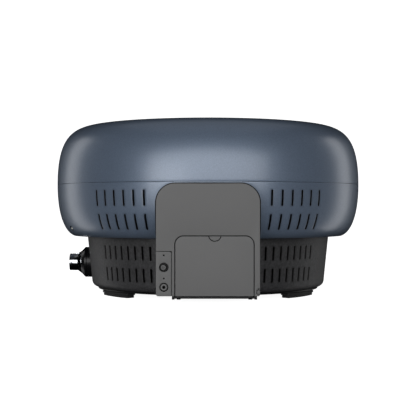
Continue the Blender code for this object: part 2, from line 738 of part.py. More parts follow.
def battery_pack():
    half = BATTERY_WIDTH / 2
    left, right = BATTERY_X - half, BATTERY_X + half
    low, high = BATTERY_BOTTOM_Z, BATTERY_BOTTOM_Z + BATTERY_HEIGHT
    corners = ((left, low, 0.0025), (right, low, 0.0025), (right, high, 0.0025), (left, high, 0.0025))
    return finish(plate("battery_pack", rounded(corners, 3), BATTERY_FRONT_Y, BATTERY_BACK_Y), BLACK_PLASTIC)


def battery_pull_tab():
    front = BATTERY_FRONT_Y - GAP
    low = (BATTERY_X - 0.0040, front - 0.0004, BATTERY_BOTTOM_Z + 0.004)
    high = (BATTERY_X + 0.0040, front, BATTERY_BOTTOM_Z + 0.017)
    return finish(box("battery_pull_tab", low, high), LENS)


def battery_bay():
    reach = BATTERY_WIDTH / 2 + BAY_CLEARANCE
    left, right = BATTERY_X - reach, BATTERY_X + reach
    low, high = BATTERY_BOTTOM_Z - 0.0003, BATTERY_BOTTOM_Z + BATTERY_HEIGHT + BAY_CLEARANCE
    front, back = BATTERY_FRONT_Y - 0.0009, BATTERY_BACK_Y + 0.0006
    outside = ((left - BAY_WALL, front, low - BAY_WALL), (right + BAY_WALL, back + BAY_WALL, high + BAY_WALL))
    bay = box("battery_bay", *outside)
    return finish(cut(bay, box("space", (left, front - 0.001, low), (right, back, high))), BLACK_PLASTIC)


def card_holder():
    """A small carrier over the battery, with the memory and SIM cards and a service socket."""
    left, right = BATTERY_X - 0.0180, BATTERY_X + 0.0180
    front, back = BATTERY_FRONT_Y, PANEL_BACK_Y + 0.008
    low, high = 0.0317, 0.0365
    holder = box("card_holder", (left, front, low), (right, back, high))
    card = box("card", (left + 0.003, front - 0.001, 0.0326), (left + 0.018, back - 0.004, 0.0350))
    port = box("port", (right - 0.013, front - 0.001, 0.0324), (right - 0.003, back - 0.004, 0.0358))
    return finish(cut(holder, card, port), BLACK_PLASTIC)


def sim_tray():
    left = BATTERY_X - 0.0180
    low = (left + 0.0033, BATTERY_FRONT_Y + 0.0003, 0.0329)
    return finish(box("sim_tray", low, (left + 0.0177, PANEL_BACK_Y + 0.003, 0.0347)), SILVER)


def service_port():
    right = BATTERY_X + 0.0180
    low = (right - 0.0127, BATTERY_FRONT_Y + 0.0002, 0.0327)
    high = (right - 0.0033, PANEL_BACK_Y + 0.003, 0.0355)
    shell = box("service_port", low, high)
    skin = 0.0005
    inner_low = (low[0] + skin, low[1] - 0.001, low[2] + skin)
    mouth = box("mouth", inner_low, (high[0] - skin, low[1] + 0.008, high[2] - skin))
    return finish(cut(shell, mouth), SILVER)


# ---------------------------------------------------------------- round connector


def connector_part(name, profile, steps, closed=False):
    return turned(name, profile, steps, closed, direction=(-1, 0, 0), centre=(0, 0, CONNECTOR_Z))


def connector_body():
    front = CONNECTOR_FRONT
    lip = 0.0003
    profile = ((0, front - 0.0090), (0.0044, front - 0.0090), (0.0044, front))
    profile += ((CONNECTOR_RADIUS - lip, front), (CONNECTOR_RADIUS, front - lip))
    profile += ((CONNECTOR_RADIUS, front - 0.0055), (0.0073, front - 0.0077), (0.0069, front - 0.0077))
    profile += ((0.0069, front - 0.0245), (0, front - 0.0245))
    body = connector_part("connector_body", profile, 30)
    root, tip = CONNECTOR_Z + 0.0048, CONNECTOR_Z + 0.0066
    key = box("key", (0.0038 - front, -0.00075, root), (0.0061 - front, 0.00075, tip))
    return finish(join(body, key), CHROME)


def connector_ring():
    front = CONNECTOR_FRONT - 0.0080
    groove = CONNECTOR_FRONT - 0.0117
    back = BASE_TOP_RADIUS - 0.0051
    profile = ((0.0073, front), (RING_RADIUS, front - 0.0022), (RING_RADIUS, groove + 0.0002))
    profile += ((RING_RADIUS - 0.0003, groove), (RING_RADIUS, groove - 0.0002))
    profile += ((RING_RADIUS, back), (0.0072, back), (0.0072, front))
    return finish(connector_part("connector_ring", profile, 30, True), BLACK_METAL)


def connector_insulator():
    front = CONNECTOR_FRONT - 0.0062
    profile = ((0.0011, front), (0.0041, front), (0.0041, front - 0.0025), (0.0011, front - 0.0025))
    return finish(connector_part("connector_insulator", profile, 24, True), WHITE_PLASTIC)


def connector_contact():
    front = CONNECTOR_FRONT - 0.0020
    profile = ((0, front), (0.0004, front), (0.0008, front - 0.0006))
    profile += ((0.0008, front - 0.0067), (0, front - 0.0067))
    return finish(connector_part("connector_contact", profile, 16), BRASS)


def connector_nut():
    start = BASE_TOP_RADIUS - 0.0060
    ends = ((-start, 0, CONNECTOR_Z), (-start + 0.0032, 0, CONNECTOR_Z))
    nut = cylinder("connector_nut", 0.0096, *ends, 6)
    bore = cylinder("bore", 0.0072, (-start - 0.001, 0, CONNECTOR_Z), (-start + 0.005, 0, CONNECTOR_Z), 36)
    return finish(cut(nut, bore), SILVER)


# ---------------------------------------------------------------- antenna and electronics


def chamfered_square(half, corner, x=0.0, y=0.0):
    sides = ((1, 1), (-1, 1), (-1, -1), (1, -1))
    points = []
    for index, (i, j) in enumerate(sides):
        near, far = (half, half - corner) if index % 2 else (half - corner, half)
        points.append((x + i * far, y + j * near))
        points.append((x + i * near, y + j * far))
    return points


def ground_plane():
    """A shallow metal dish under the patches, with a raised rim."""
    low, rim = GROUND_PLANE_Z, GROUND_PLANE_Z + 0.005
    radius = GROUND_PLANE_RADIUS
    profile = ((0, low + 0.0012), (radius - 0.0012, low + 0.0012), (radius - 0.0012, rim), (radius, rim))
    profile += ((radius, low), (0, low))
    return finish(turned("ground_plane", profile, 48), SILVER)


def antenna_patches():
    bottom = GROUND_PLANE_Z + 0.0012 + GAP
    lower = plate("lower_patch", chamfered_square(0.030, 0.004), bottom, bottom + 0.006, "+Z")
    finish(lower, CERAMIC)
    bottom += 0.006 + GAP
    finish(plate("upper_patch", chamfered_square(0.022, 0.003), bottom, bottom + 0.005, "+Z"), CERAMIC)


def boards_and_modules():
    bottom = BOARD_Z
    top = bottom + BOARD_THICKNESS
    profile = ((0, top), (BOARD_RADIUS, top), (BOARD_RADIUS, bottom), (0, bottom))
    finish(turned("main_board", profile, 48), BOARD_GREEN)
    seat = top + GAP
    finish(box("gnss_module", (-0.045, -0.005, seat), (-0.005, 0.030, seat + 0.004)), SILVER)
    finish(box("radio_module", (0.012, 0.005, seat), (0.042, 0.027, seat + 0.005)), SILVER)
    ceiling = GROUND_PLANE_Z - GAP
    finish(box("lna_shield", (-0.015, -0.032, ceiling - 0.007), (0.020, -0.008, ceiling)), SILVER)


def heat_sink():
    seat = BOARD_Z + BOARD_THICKNESS + 0.004 + 2 * GAP
    left, right = -0.043, -0.007
    sink = box("heat_sink", (left, -0.003, seat), (right, 0.028, seat + 0.009))
    count, pitch = 5, (right - left) / 6
    for index in range(count):
        middle = left + pitch * (index + 1)
        low = (middle - 0.0020, -0.005, seat + 0.0020)
        cut(sink, box("channel", low, (middle + 0.0020, 0.030, seat + 0.012)))
    return finish(sink, SILVER)


def fan_frame():
    half = FAN_SIZE / 2
    corners = [(x, FAN_Y + y, 0.003) for x, y in ((-half, -half), (half, -half), (half, half), (-half, half))]
    frame = plate("fan_frame", rounded(corners, 3), FAN_TOP_Z - FAN_DEPTH, FAN_TOP_Z, "+Z")
    low, high = FAN_TOP_Z - FAN_DEPTH - 0.001, FAN_TOP_Z + 0.001
    cut(frame, cylinder("bore", half - 0.0014, (0, FAN_Y, low), (0, FAN_Y, high), 36))
    bar_low = FAN_TOP_Z - 0.0012
    motor = cylinder("motor", 0.0080, (0, FAN_Y, bar_low), (0, FAN_Y, FAN_TOP_Z), 20)
    reach, arm = half - 0.001, 0.0015
    join(motor, box("bar", (-reach, FAN_Y - arm, bar_low), (reach, FAN_Y + arm, FAN_TOP_Z)))
    return finish(join(frame, motor), BLACK_PLASTIC)


def fan_rotor():
    low, high = FAN_TOP_Z - FAN_DEPTH + 0.0006, FAN_TOP_Z - 0.0012 - 0.0006
    rotor = cylinder("fan_rotor", 0.0085, (0, FAN_Y, low), (0, FAN_Y, high), 24)
    blades = bmesh.new()
    for index in range(7):
        place = Matrix.Translation((0, FAN_Y, (low + high) / 2))
        place @= Matrix.Rotation(math.radians(360 / 7 * index), 4, "Z")
        place @= Matrix.Translation((0.0126, 0, 0)) @ Matrix.Rotation(math.radians(50), 4, "X")
        place @= Matrix.Diagonal((0.0098, 0.0009, 0.0070, 1))
        bmesh.ops.create_cube(blades, size=1.0, matrix=place)
    mesh = bpy.data.meshes.new("blades")
    blades.to_mesh(mesh)
    blades.free()
    return finish(join(rotor, add_object("blades", mesh)), BLACK_PLASTIC, (0, FAN_Y, FAN_TOP_Z - FAN_DEPTH))


def posts():
    floor_z = RIM_Z + WALL + GAP
    for index, angle in enumerate((90, 210, 330)):
        foot = on_circle(BOARD_RADIUS - 0.0035, angle, floor_z)
        head = on_circle(BOARD_RADIUS - 0.0035, angle, BOARD_Z - GAP)
        finish(cylinder(f"board_post_{index + 1}", 0.0028, foot, head, 12), SILVER)
    for index, angle in enumerate((30, 150, 270)):
        foot = on_circle(BOARD_RADIUS - 0.0060, angle, BOARD_Z + BOARD_THICKNESS + GAP)
        head = on_circle(BOARD_RADIUS - 0.0060, angle, GROUND_PLANE_Z - GAP)
        finish(cylinder(f"plane_post_{index + 1}", 0.0028, foot, head, 12), SILVER)


def cable(name, route, radius):
    """A wire on a smooth curve through its route's points."""
    curve = bpy.data.curves.new(name, "CURVE")
    curve.dimensions = "3D"
    curve.bevel_depth = radius
    curve.bevel_resolution = 1
    curve.use_fill_caps = True
    curve.resolution_u = 6
    spline = curve.splines.new("BEZIER")
    spline.bezier_points.add(len(route) - 1)
    for point, place in zip(spline.bezier_points, route):
        point.co = place
        point.handle_left_type = "AUTO"
        point.handle_right_type = "AUTO"
    made = bpy.data.objects.new(name, curve)
    RECEIVER.objects.link(made)
    bpy.context.view_layer.update()
    return finish(as_mesh(made), BLACK_PLASTIC)


def cables():
    shield_z = GROUND_PLANE_Z - 0.0077
    board_top = BOARD_Z + BOARD_THICKNESS
    route = ((0, -0.014, shield_z), (0, -0.010, 0.060), (-0.003, 0.006, board_top + 0.0022))
    cable("antenna_cable", route, 0.0009)
    tail = CONNECTOR_FRONT - 0.0256
    route = ((-tail, 0, CONNECTOR_Z), (-tail + 0.012, 0.004, 0.026), (-0.045, 0.010, BOARD_Z - 0.0005))
    cable("radio_cable", route, 0.0013)


# ---------------------------------------------------------------- assembly

clear_scene()
RECEIVER = bpy.data.collections.new("gnss_receiver")
bpy.context.scene.collection.children.link(RECEIVER)

DOME_PAINT = paint("dome_paint", (97, 105, 116), 0.38, 0.3)
BASE_PLASTIC = paint("base_plastic", (78, 78, 80), 0.55)
PANEL_PAINT = paint("panel_paint", (102, 102, 102), 0.5)
BLACK_PLASTIC = paint("black_plastic", (26, 27, 29), 0.5)
BLACK_METAL = paint("black_metal", (22, 22, 24), 0.3, 0.6)
RUBBER = paint("rubber", (45, 45, 47), 0.75)
CHROME = paint("chrome", (205, 207, 210), 0.12, 1.0)
SILVER = paint("silver", (168, 170, 173), 0.3, 1.0)
BRASS = paint("brass", (178, 146, 84), 0.3, 1.0)
WHITE_PLASTIC = paint("white_plastic", (222, 220, 212), 0.45)
CERAMIC = paint("ceramic", (196, 188, 170), 0.5)
BOARD_GREEN = paint("board_green", (24, 74, 48), 0.45)
LENS = paint("lens", (120, 170, 120), 0.2)

top_dome()
lower_shell()
vent_plug()
seam_band()
base_housing()
bottom_plate()
bottom_screws()
feet()
pole_insert()
rear_housing()
tether_lug()
port_plate()
button_collar()
power_button()
button_switch()
status_lights()
charge_socket()
charge_sleeve()
battery_door()
door_latch()
door_hinge_pin()
door_seal()
door_pad()
battery_pack()
battery_pull_tab()
battery_bay()
card_holder()
sim_tray()
service_port()
connector_body()
connector_ring()
connector_insulator()
connector_contact()
connector_nut()
ground_plane()
antenna_patches()
boards_and_modules()
heat_sink()
fan_frame()
fan_rotor()
posts()
cables()
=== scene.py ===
import math

import bmesh
import bpy
import numpy as np
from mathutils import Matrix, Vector


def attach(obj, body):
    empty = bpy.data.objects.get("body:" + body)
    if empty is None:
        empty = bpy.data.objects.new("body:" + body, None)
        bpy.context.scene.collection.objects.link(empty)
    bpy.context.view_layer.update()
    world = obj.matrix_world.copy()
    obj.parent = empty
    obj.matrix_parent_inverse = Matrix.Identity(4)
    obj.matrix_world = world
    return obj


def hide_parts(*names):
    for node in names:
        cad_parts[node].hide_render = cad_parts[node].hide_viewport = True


# Looks for the satellite receiver. Everything is in metres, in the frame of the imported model: +Z up, the
# dome's axis on the origin, the panel with the battery door towards -Y and the round connector towards -X.

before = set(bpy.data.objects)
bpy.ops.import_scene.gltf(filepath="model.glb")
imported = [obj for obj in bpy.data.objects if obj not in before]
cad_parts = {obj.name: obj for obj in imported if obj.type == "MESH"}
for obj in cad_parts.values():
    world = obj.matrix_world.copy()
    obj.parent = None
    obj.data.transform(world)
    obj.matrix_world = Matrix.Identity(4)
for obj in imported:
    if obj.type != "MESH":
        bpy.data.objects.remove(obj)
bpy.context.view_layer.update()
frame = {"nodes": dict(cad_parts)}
print("frame loaded:", len(frame["nodes"]), "nodes")

mm = 0.001


def inMetres(sizes):
    # Sizes in millimetres, and those in the rows and dictionaries they stand in, each multiplied by 0.001.
    if isinstance(sizes, dict):
        return {key: inMetres(value) for key, value in sizes.items()}
    if isinstance(sizes, tuple):
        return tuple(inMetres(value) for value in sizes)
    return sizes * mm


# Finishes

def linearColour(hexText):
    # sRGB hex to linear light, channel by channel.
    values = np.array([int(hexText[i:i + 2], 16) for i in (1, 3, 5)]) / 255
    linear = np.where(values <= 0.04045, values / 12.92, ((values + 0.055) / 1.055) ** 2.4)
    return (*linear.tolist(), 1.0)


def addNode(tree, kind, settings=None, links=None):
    # One node, with its own settings, and values or links for its inputs by name or number.
    node = tree.nodes.new(kind)
    for key, value in (settings or {}).items():
        setattr(node, key, value)
    for key, value in (links or {}).items():
        if isinstance(value, bpy.types.NodeSocket):
            tree.links.new(value, node.inputs[key])
        else:
            node.inputs[key].default_value = value
    return node


def shade(tree, low, high, factor):
    # Straight ramp from one (position, colour) to another, read at the factor.
    ramp = addNode(tree, "ShaderNodeValToRGB", links={0: factor})
    ramp.color_ramp.elements[0].position, ramp.color_ramp.elements[0].color = low
    ramp.color_ramp.elements[1].position, ramp.color_ramp.elements[1].color = high
    return ramp.outputs[0]


def grey(level):
    # The same level in red, green and blue, opaque.
    return (level, level, level, 1.0)


def blend(tree, kind, factor, under, over):
    # Two colours mixed by a factor, or multiplied together.
    settings = {"data_type": "RGBA", "blend_type": kind}
    return addNode(tree, "ShaderNodeMix", settings, {"Factor": factor, 6: under, 7: over}).outputs[2]


# Each finish: the slot it fills, two colours and the slow cloud that mixes them, roughness from smooth to
# dull, and the grain. cloud, grain and flakes are cells per metre, and grainHeight is in millimetres. Grain
# too fine to show is drawn about twice as coarse as it is. gloss is the specular level, and coat and
# coatRoughness are the clear lacquer's. speckle is painted shade: how much lighter the tops of the texture
# are painted than its pits, as if they caught more light. turned is the scale of the turning marks along X,
# Y and Z. outsideOnlyAndJointShade keeps paint and texture off the places that are unpainted moulding, and
# paints the slots' walls and the joints black as painted shade.
finishValues = {
    # Polycarbonate radome sprayed with a satin metallic lacquer: soft wide highlights over a cool grey.
    "metallicLacquer": {
        "slot": "dome_paint", "colour": "#667487", "shade": "#627083", "metallic": 0.4,
        "roughness": (0.42, 0.46), "grain": 1500, "grainHeight": 0.010, "cloud": 9, "flakes": 2600,
        "coat": 1.0, "coatRoughness": 0.26, "outsideOnlyAndJointShade": True},
    # Moulded glass-filled nylon with a spark-eroded texture: dull, slightly sparkling, no clear reflection.
    "sparkTexturedNylon": {
        "slot": "base_plastic", "colour": "#353536", "shade": "#303032", "metallic": 0.0,
        "roughness": (0.48, 0.58), "grain": 800, "grainHeight": 0.10, "cloud": 22, "paintedPitShade": 0.3,
        "outsideOnlyAndJointShade": True},
    # Moulded ABS with a fine matt texture, painted mid grey: flat and even.
    "mattPaintedAbs": {
        "slot": "panel_paint", "colour": "#606060", "shade": "#5D5D5D", "metallic": 0.0,
        "roughness": (0.55, 0.64), "grain": 2200, "grainHeight": 0.02, "cloud": 14, "outsideOnlyAndJointShade": True},
    # Moulded black ABS: low sheen.
    "blackAbs": {
        "slot": "black_plastic", "colour": "#080809", "shade": "#060607", "metallic": 0.0,
        "roughness": (0.42, 0.52), "grain": 1800, "grainHeight": 0.02, "cloud": 30, "gloss": 0.3},
    # Turned aluminium, black anodised: dark with thin bright edges.
    "blackAnodised": {
        "slot": "black_metal", "colour": "#17181A", "shade": "#101113", "metallic": 0.35,
        "roughness": (0.24, 0.34), "grain": 2400, "grainHeight": 0.008, "cloud": 40,
        "turned": (3800, 60, 60)},
    # Moulded silicone rubber: dull, dark, a little dusty.
    "mouldedRubber": {
        "slot": "rubber", "colour": "#161617", "shade": "#121213", "metallic": 0.0,
        "roughness": (0.66, 0.8), "grain": 1600, "grainHeight": 0.03, "cloud": 60},
    # Brass barrel with bright nickel and chrome plating: mirror-like, faint turning marks.
    "brightChrome": {
        "slot": "chrome", "colour": "#D6D8DB", "shade": "#C9CCD0", "metallic": 1.0,
        "roughness": (0.12, 0.2), "grain": 900, "grainHeight": 0.004, "cloud": 40, "turned": (3600, 50, 50)},
    # Stamped and machined steel with a dull zinc plating.
    "zincPlatedSteel": {
        "slot": "silver", "colour": "#B4B6B9", "shade": "#A3A6AA", "metallic": 1.0,
        "roughness": (0.26, 0.38), "grain": 700, "grainHeight": 0.008, "cloud": 60},
    # Turned brass, left bare: warm, satin, fine turning marks round the axis.
    "turnedBrass": {
        "slot": "brass", "colour": "#B99A5E", "shade": "#A88850", "metallic": 1.0,
        "roughness": (0.24, 0.36), "grain": 900, "grainHeight": 0.006, "cloud": 70, "turned": (80, 80, 3000)},
    # Moulded PTFE insulator: soft white, slightly waxy.
    "whitePtfe": {
        "slot": "white_plastic", "colour": "#DEDCD4", "shade": "#D2D0C8", "metallic": 0.0,
        "roughness": (0.4, 0.5), "grain": 1200, "grainHeight": 0.01, "cloud": 90},
    # Fired microwave ceramic, ground flat: chalky cream.
    "groundCeramic": {
        "slot": "ceramic", "colour": "#C8BEA8", "shade": "#B9AF99", "metallic": 0.0,
        "roughness": (0.5, 0.62), "grain": 1500, "grainHeight": 0.02, "cloud": 60},
    # Glass-epoxy board under green solder mask.
    "solderMask": {
        "slot": "board_green", "colour": "#1B5338", "shade": "#123E29", "metallic": 0.0,
        "roughness": (0.28, 0.4), "grain": 700, "grainHeight": 0.02, "cloud": 160},
    # Moulded clear polycarbonate light pipe, tinted.
    "tintedLens": {
        "slot": "lens", "colour": "#080C09", "shade": "#060907", "metallic": 0.0,
        "roughness": (0.1, 0.18), "grain": 600, "grainHeight": 0.0, "cloud": 200, "gloss": 0.3},
}
# Black for the unpainted moulding inside, and painted shade on the walls of the slots and joints.
bareAndJointShadeColours = ("#060607", "#09090A")   # plain black moulding under paint and texture
cloudEnds = (0.35, 0.65)               # where the cloud's noise turns from one colour to the other


def noise(tree, place, scale, detail):
    # Even noise at a number of cells per metre.
    links = {"Vector": place, "Scale": scale, "Detail": detail}
    return addNode(tree, "ShaderNodeTexNoise", links=links).outputs[0]


def makeFinish(name, values):
    # Colour from slow noise between two tones, roughness from the same noise, and bumps from fine noise.
    material = bpy.data.materials.new(name)
    material.use_nodes = True
    tree = material.node_tree
    shader = tree.nodes["Principled BSDF"]
    place = addNode(tree, "ShaderNodeTexCoord").outputs["Object"]
    cloud, height = noise(tree, place, values["cloud"], 5.0), noise(tree, place, values["grain"], 3.0)
    low, high = cloudEnds
    dark, light = linearColour(values["shade"]), linearColour(values["colour"])
    colour = shade(tree, (low, dark), (high, light), cloud)
    if "flakes" in values:
        # Aluminium flakes: each cell catches the light a little more or less than the next.
        flakes = addNode(tree, "ShaderNodeTexVoronoi", links={"Vector": place, "Scale": values["flakes"]})
        spark = shade(tree, (0.0, grey(0.90)), (1.0, grey(1.10)), flakes.outputs["Color"])
        colour = blend(tree, "MULTIPLY", 1.0, colour, spark)
    if "paintedPitShade" in values:
        # Painted shade: the tops of the texture are painted lighter than its pits, as if they caught more
        # light.
        pitShadeTone = shade(tree, (low, grey(1 - values["paintedPitShade"])), (high, grey(1 + values["paintedPitShade"])), height)
        colour = blend(tree, "MULTIPLY", 1.0, colour, pitShadeTone)
    if values.get("outsideOnlyAndJointShade"):
        # Paint and texture are on the outside; the inside is plain black moulding, and the slots' walls and
        # the joints are painted black as well, as painted shade.
        bareAndShade = addNode(tree, "ShaderNodeAttribute", {"attribute_name": "bareMouldingAndJointShade"}).outputs["Fac"]
        dark, light = (linearColour(tone) for tone in bareAndJointShadeColours)
        colour = blend(tree, "MIX", bareAndShade, colour, shade(tree, (low, dark), (high, light), cloud))
        painted = addNode(tree, "ShaderNodeMath", {"operation": "SUBTRACT"}, {0: 1.0, 1: bareAndShade}).outputs[0]
        for key, full in (("Metallic", values["metallic"]), ("Coat Weight", values.get("coat", 0.0))):
            amount = addNode(tree, "ShaderNodeMath", {"operation": "MULTIPLY"}, {0: painted, 1: full})
            tree.links.new(amount.outputs[0], shader.inputs[key])
    if "turned" in values:
        # Turning marks: noise drawn out round the part, fine along its axis.
        stretch = addNode(tree, "ShaderNodeMapping", {"vector_type": "POINT"}, {"Vector": place})
        stretch.inputs["Scale"].default_value = values["turned"]
        height = noise(tree, stretch.outputs[0], 1.0, 2.0)
    tree.links.new(colour, shader.inputs["Base Color"])
    smooth, dull = values["roughness"]
    rough = addNode(tree, "ShaderNodeMapRange", links={0: cloud, 1: 0.3, 2: 0.7, 3: smooth, 4: dull})
    tree.links.new(rough.outputs[0], shader.inputs["Roughness"])
    if values["grainHeight"]:
        bump = addNode(tree, "ShaderNodeBump", links={"Height": height, "Strength": 1.0,
                                                      "Distance": values["grainHeight"] * mm})
        tree.links.new(bump.outputs[0], shader.inputs["Normal"])
    shader.inputs["Metallic"].default_value = values["metallic"]
    shader.inputs["Specular IOR Level"].default_value = values.get("gloss", 0.5)
    if "coat" in values:
        shader.inputs["Coat Weight"].default_value = values["coat"]
        shader.inputs["Coat Roughness"].default_value = values["coatRoughness"]
    return material


paper = {"tones": ("#F2F2F2", "#F5F5F5"), "mottle": 3.0, "roughness": 0.9, "glow": 0.95}


def makePaper():
    # Pale acrylic sweep with light behind it, as on a product table: an even, near-white glow, faintly
    # mottled.
    material = bpy.data.materials.new("studioPaper")
    material.use_nodes = True
    tree = material.node_tree
    place = addNode(tree, "ShaderNodeTexCoord").outputs["Object"]
    mottle = addNode(tree, "ShaderNodeTexNoise", links={"Vector": place, "Scale": paper["mottle"]})
    dark, light = (linearColour(tone) for tone in paper["tones"])
    colour = shade(tree, (0.3, dark), (0.7, light), mottle.outputs[0])
    shader = tree.nodes["Principled BSDF"]
    tree.links.new(colour, shader.inputs["Base Color"])
    shader.inputs["Roughness"].default_value = paper["roughness"]
    shader.inputs["Emission Color"].default_value = linearColour("#FFFFFF")
    shader.inputs["Emission Strength"].default_value = paper["glow"]
    return material


finishes = {values["slot"]: makeFinish(name, values) for name, values in finishValues.items()}
finishes["studio_paper"] = makePaper()

# The frame's own parts: silver, unless they are listed here.
slotOf = dict.fromkeys(frame["nodes"], "silver")
for slot, names in {
        "dome_paint": "top_dome lower_shell", "base_plastic": "base_housing",
        "panel_paint": "rear_housing tether_lug port_plate power_button battery_door door_latch",
        "black_plastic": "bottom_plate button_switch charge_socket battery_pack battery_bay card_holder "
                         "fan_frame fan_rotor antenna_cable radio_cable",
        "black_metal": "door_hinge_pin connector_ring", "chrome": "connector_body",
        "rubber": "seam_band foot_1 foot_2 foot_3 foot_4 button_collar door_seal door_pad",
        "brass": "pole_insert connector_contact", "white_plastic": "connector_insulator",
        "ceramic": "lower_patch upper_patch", "board_green": "main_board",
        "lens": "status_led charge_led battery_pull_tab"}.items():
    slotOf.update((name, slot) for name in names.split())
for name, node in frame["nodes"].items():
    node.data.materials.clear()
    node.data.materials.append(finishes[slotOf[name]])
print("finishes made")


# Meshes

weld = {"points": 2e-7, "slivers": 1e-7, "sharpAngle": 32}   # metres, metres and degrees


def meshPiece(name, solid, slot, node=None, body="receiver", bareAndShade=None):
    # A solid is (points, faces): an (n, 3) array and a list of index rows. bare is 1 at the points drawn in
    # black
    # moulding: the unpainted inside, and the walls of slots and joints, where the black is painted shade.
    # node is the plain part of the frame whose place the piece takes.
    points, faces = solid
    mesh = bpy.data.meshes.new(name)
    mesh.from_pydata(points.tolist(), [], faces)
    shape = bmesh.new()
    shape.from_mesh(mesh)
    if bareAndShade is not None:
        layer = shape.verts.layers.float.new("bareMouldingAndJointShade")
        for vert, share in zip(shape.verts, bareAndShade.tolist()):
            vert[layer] = share
    bmesh.ops.remove_doubles(shape, verts=shape.verts, dist=weld["points"])
    bmesh.ops.dissolve_degenerate(shape, edges=shape.edges, dist=weld["slivers"])
    bmesh.ops.recalc_face_normals(shape, faces=shape.faces)
    shape.to_mesh(mesh)
    shape.free()
    mesh.shade_smooth()
    mesh.set_sharp_from_angle(angle=math.radians(weld["sharpAngle"]))
    piece = bpy.data.objects.new(name, mesh)
    bpy.context.scene.collection.objects.link(piece)
    piece.data.materials.append(finishes[slot])
    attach(piece, body)
    if node:
        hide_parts(node)


def gridFaces(rows, columns, first=0, loop=False):
    # Quads between neighbours of a grid whose points are stored row after row; loop joins the last row to the
    # first.
    below = np.arange(rows if loop else rows - 1)[:, None]
    above = (below + 1) % rows
    column = np.arange(columns - 1)[None, :]
    corners = [below * columns + column, above * columns + column]
    corners += [above * columns + column + 1, below * columns + column + 1]
    return (np.stack(np.broadcast_arrays(*corners), -1).reshape(-1, 4) + first).tolist()


def together(*solids):
    # Puts several (points, faces) pairs into one pair.
    points, faces, first = [], [], 0
    for solidPoints, solidFaces in solids:
        points.append(solidPoints)
        faces += [[index + first for index in face] for face in solidFaces]
        first += len(solidPoints)
    return np.concatenate(points), faces


def placed(points, towards, centre):
    # Turns local +Z to an axis direction, as (radius, height) parts need, and moves the origin to a centre.
    turn = np.array(Vector(towards).to_track_quat("Z", "Y").to_matrix())
    return points @ turn.T + np.array(centre)


def lathe(profile, steps, towards=(0, 0, 1), centre=(0, 0, 0), closed=False):
    # Surface of revolution: x = r cos a, y = r sin a, z = h for each profile point (r, h) and each turn a.
    profile = np.array(profile, float)
    if closed:
        profile = np.concatenate([profile, profile[:1]])
    turn = np.linspace(0, 2 * math.pi, steps, endpoint=False)[:, None]
    radius, height = profile[None, :, 0], profile[None, :, 1]
    grid = np.stack([radius * np.cos(turn), radius * np.sin(turn), height + 0 * turn], -1)
    return placed(grid.reshape(-1, 3), towards, centre), gridFaces(steps, len(profile), loop=True)


def roundCorners(corners, steps=10):
    # Polygon of (x, y, radius) rows, anticlockwise: each corner becomes an arc that touches both its sides.
    corners = np.array(corners, float)
    here, radius = corners[:, :2], corners[:, 2]
    into = here - np.roll(here, 1, 0)
    into /= np.linalg.norm(into, axis=1)[:, None]
    out = np.roll(into, -1, 0)
    turn = np.arctan2(into[:, 0] * out[:, 1] - into[:, 1] * out[:, 0], (into * out).sum(1))
    reach = radius * np.tan(np.abs(turn) / 2)
    side = np.sign(turn)[:, None]
    centre = here - into * reach[:, None] + side * radius[:, None] * np.stack([-into[:, 1], into[:, 0]], -1)
    points = []
    for index in range(len(corners)):
        if radius[index] == 0:
            points.append(here[index][None])
            continue
        angle = np.linspace(0, turn[index], steps + 1)[:, None]
        spoke = here[index] - into[index] * reach[index] - centre[index]
        cosine, sine = np.cos(angle), np.sin(angle)
        points.append(centre[index] + np.concatenate([
            spoke[0] * cosine - spoke[1] * sine, spoke[0] * sine + spoke[1] * cosine], 1))
    return np.concatenate(points)


def quarterRound(radius, face, edge, steps, depth=None):
    # Rim of a turned part: from the end face to the side on a quarter of an ellipse, edge across and depth
    # down.
    turn = np.linspace(0, math.pi / 2, steps)
    return np.stack([radius - edge * (1 - np.sin(turn)), face - (depth or edge) * (1 - np.cos(turn))], -1)


def rectangle(left, low, right, high, radius, steps):
    # Four equally rounded corners, anticlockwise from the low left one.
    corners = ((left, low), (right, low), (right, high), (left, high))
    return roundCorners([(*corner, radius) for corner in corners], steps)


def circleOutline(x, y, radius, steps=32, clockwise=True):
    turn = np.linspace(0, 2 * math.pi, steps, endpoint=False) * (-1 if clockwise else 1)
    return np.stack([x + radius * np.cos(turn), y + radius * np.sin(turn)], -1)


def inset(outline, distance):
    # Moves every side of a closed outline to its left by the distance, with mitred corners.
    along = np.roll(outline, -1, 0) - outline
    along /= np.linalg.norm(along, axis=1)[:, None]
    left = np.stack([-along[:, 1], along[:, 0]], -1)
    before = np.roll(left, 1, 0)
    mitre = left + before
    mitre /= np.maximum((mitre * left).sum(1), 0.25)[:, None]
    return outline + mitre * distance


def softEdges(front, back, edge, backEdge=0.0, steps=4):
    # Side of a plate as (inset, height) rows from its front face to its back face, with a quarter round at
    # each.
    turn = np.linspace(0, math.pi / 2, steps + 1)
    way = 1 if back > front else -1
    rows = [np.stack([edge * (1 - np.sin(turn)), front + way * edge * (1 - np.cos(turn))], -1)]
    if backEdge:
        turn = turn[::-1]
        rows.append(np.stack([backEdge * (1 - np.sin(turn)), back - way * backEdge * (1 - np.cos(turn))], -1))
    else:
        rows.append(np.array([[0.0, back]]))
    return np.concatenate(rows)


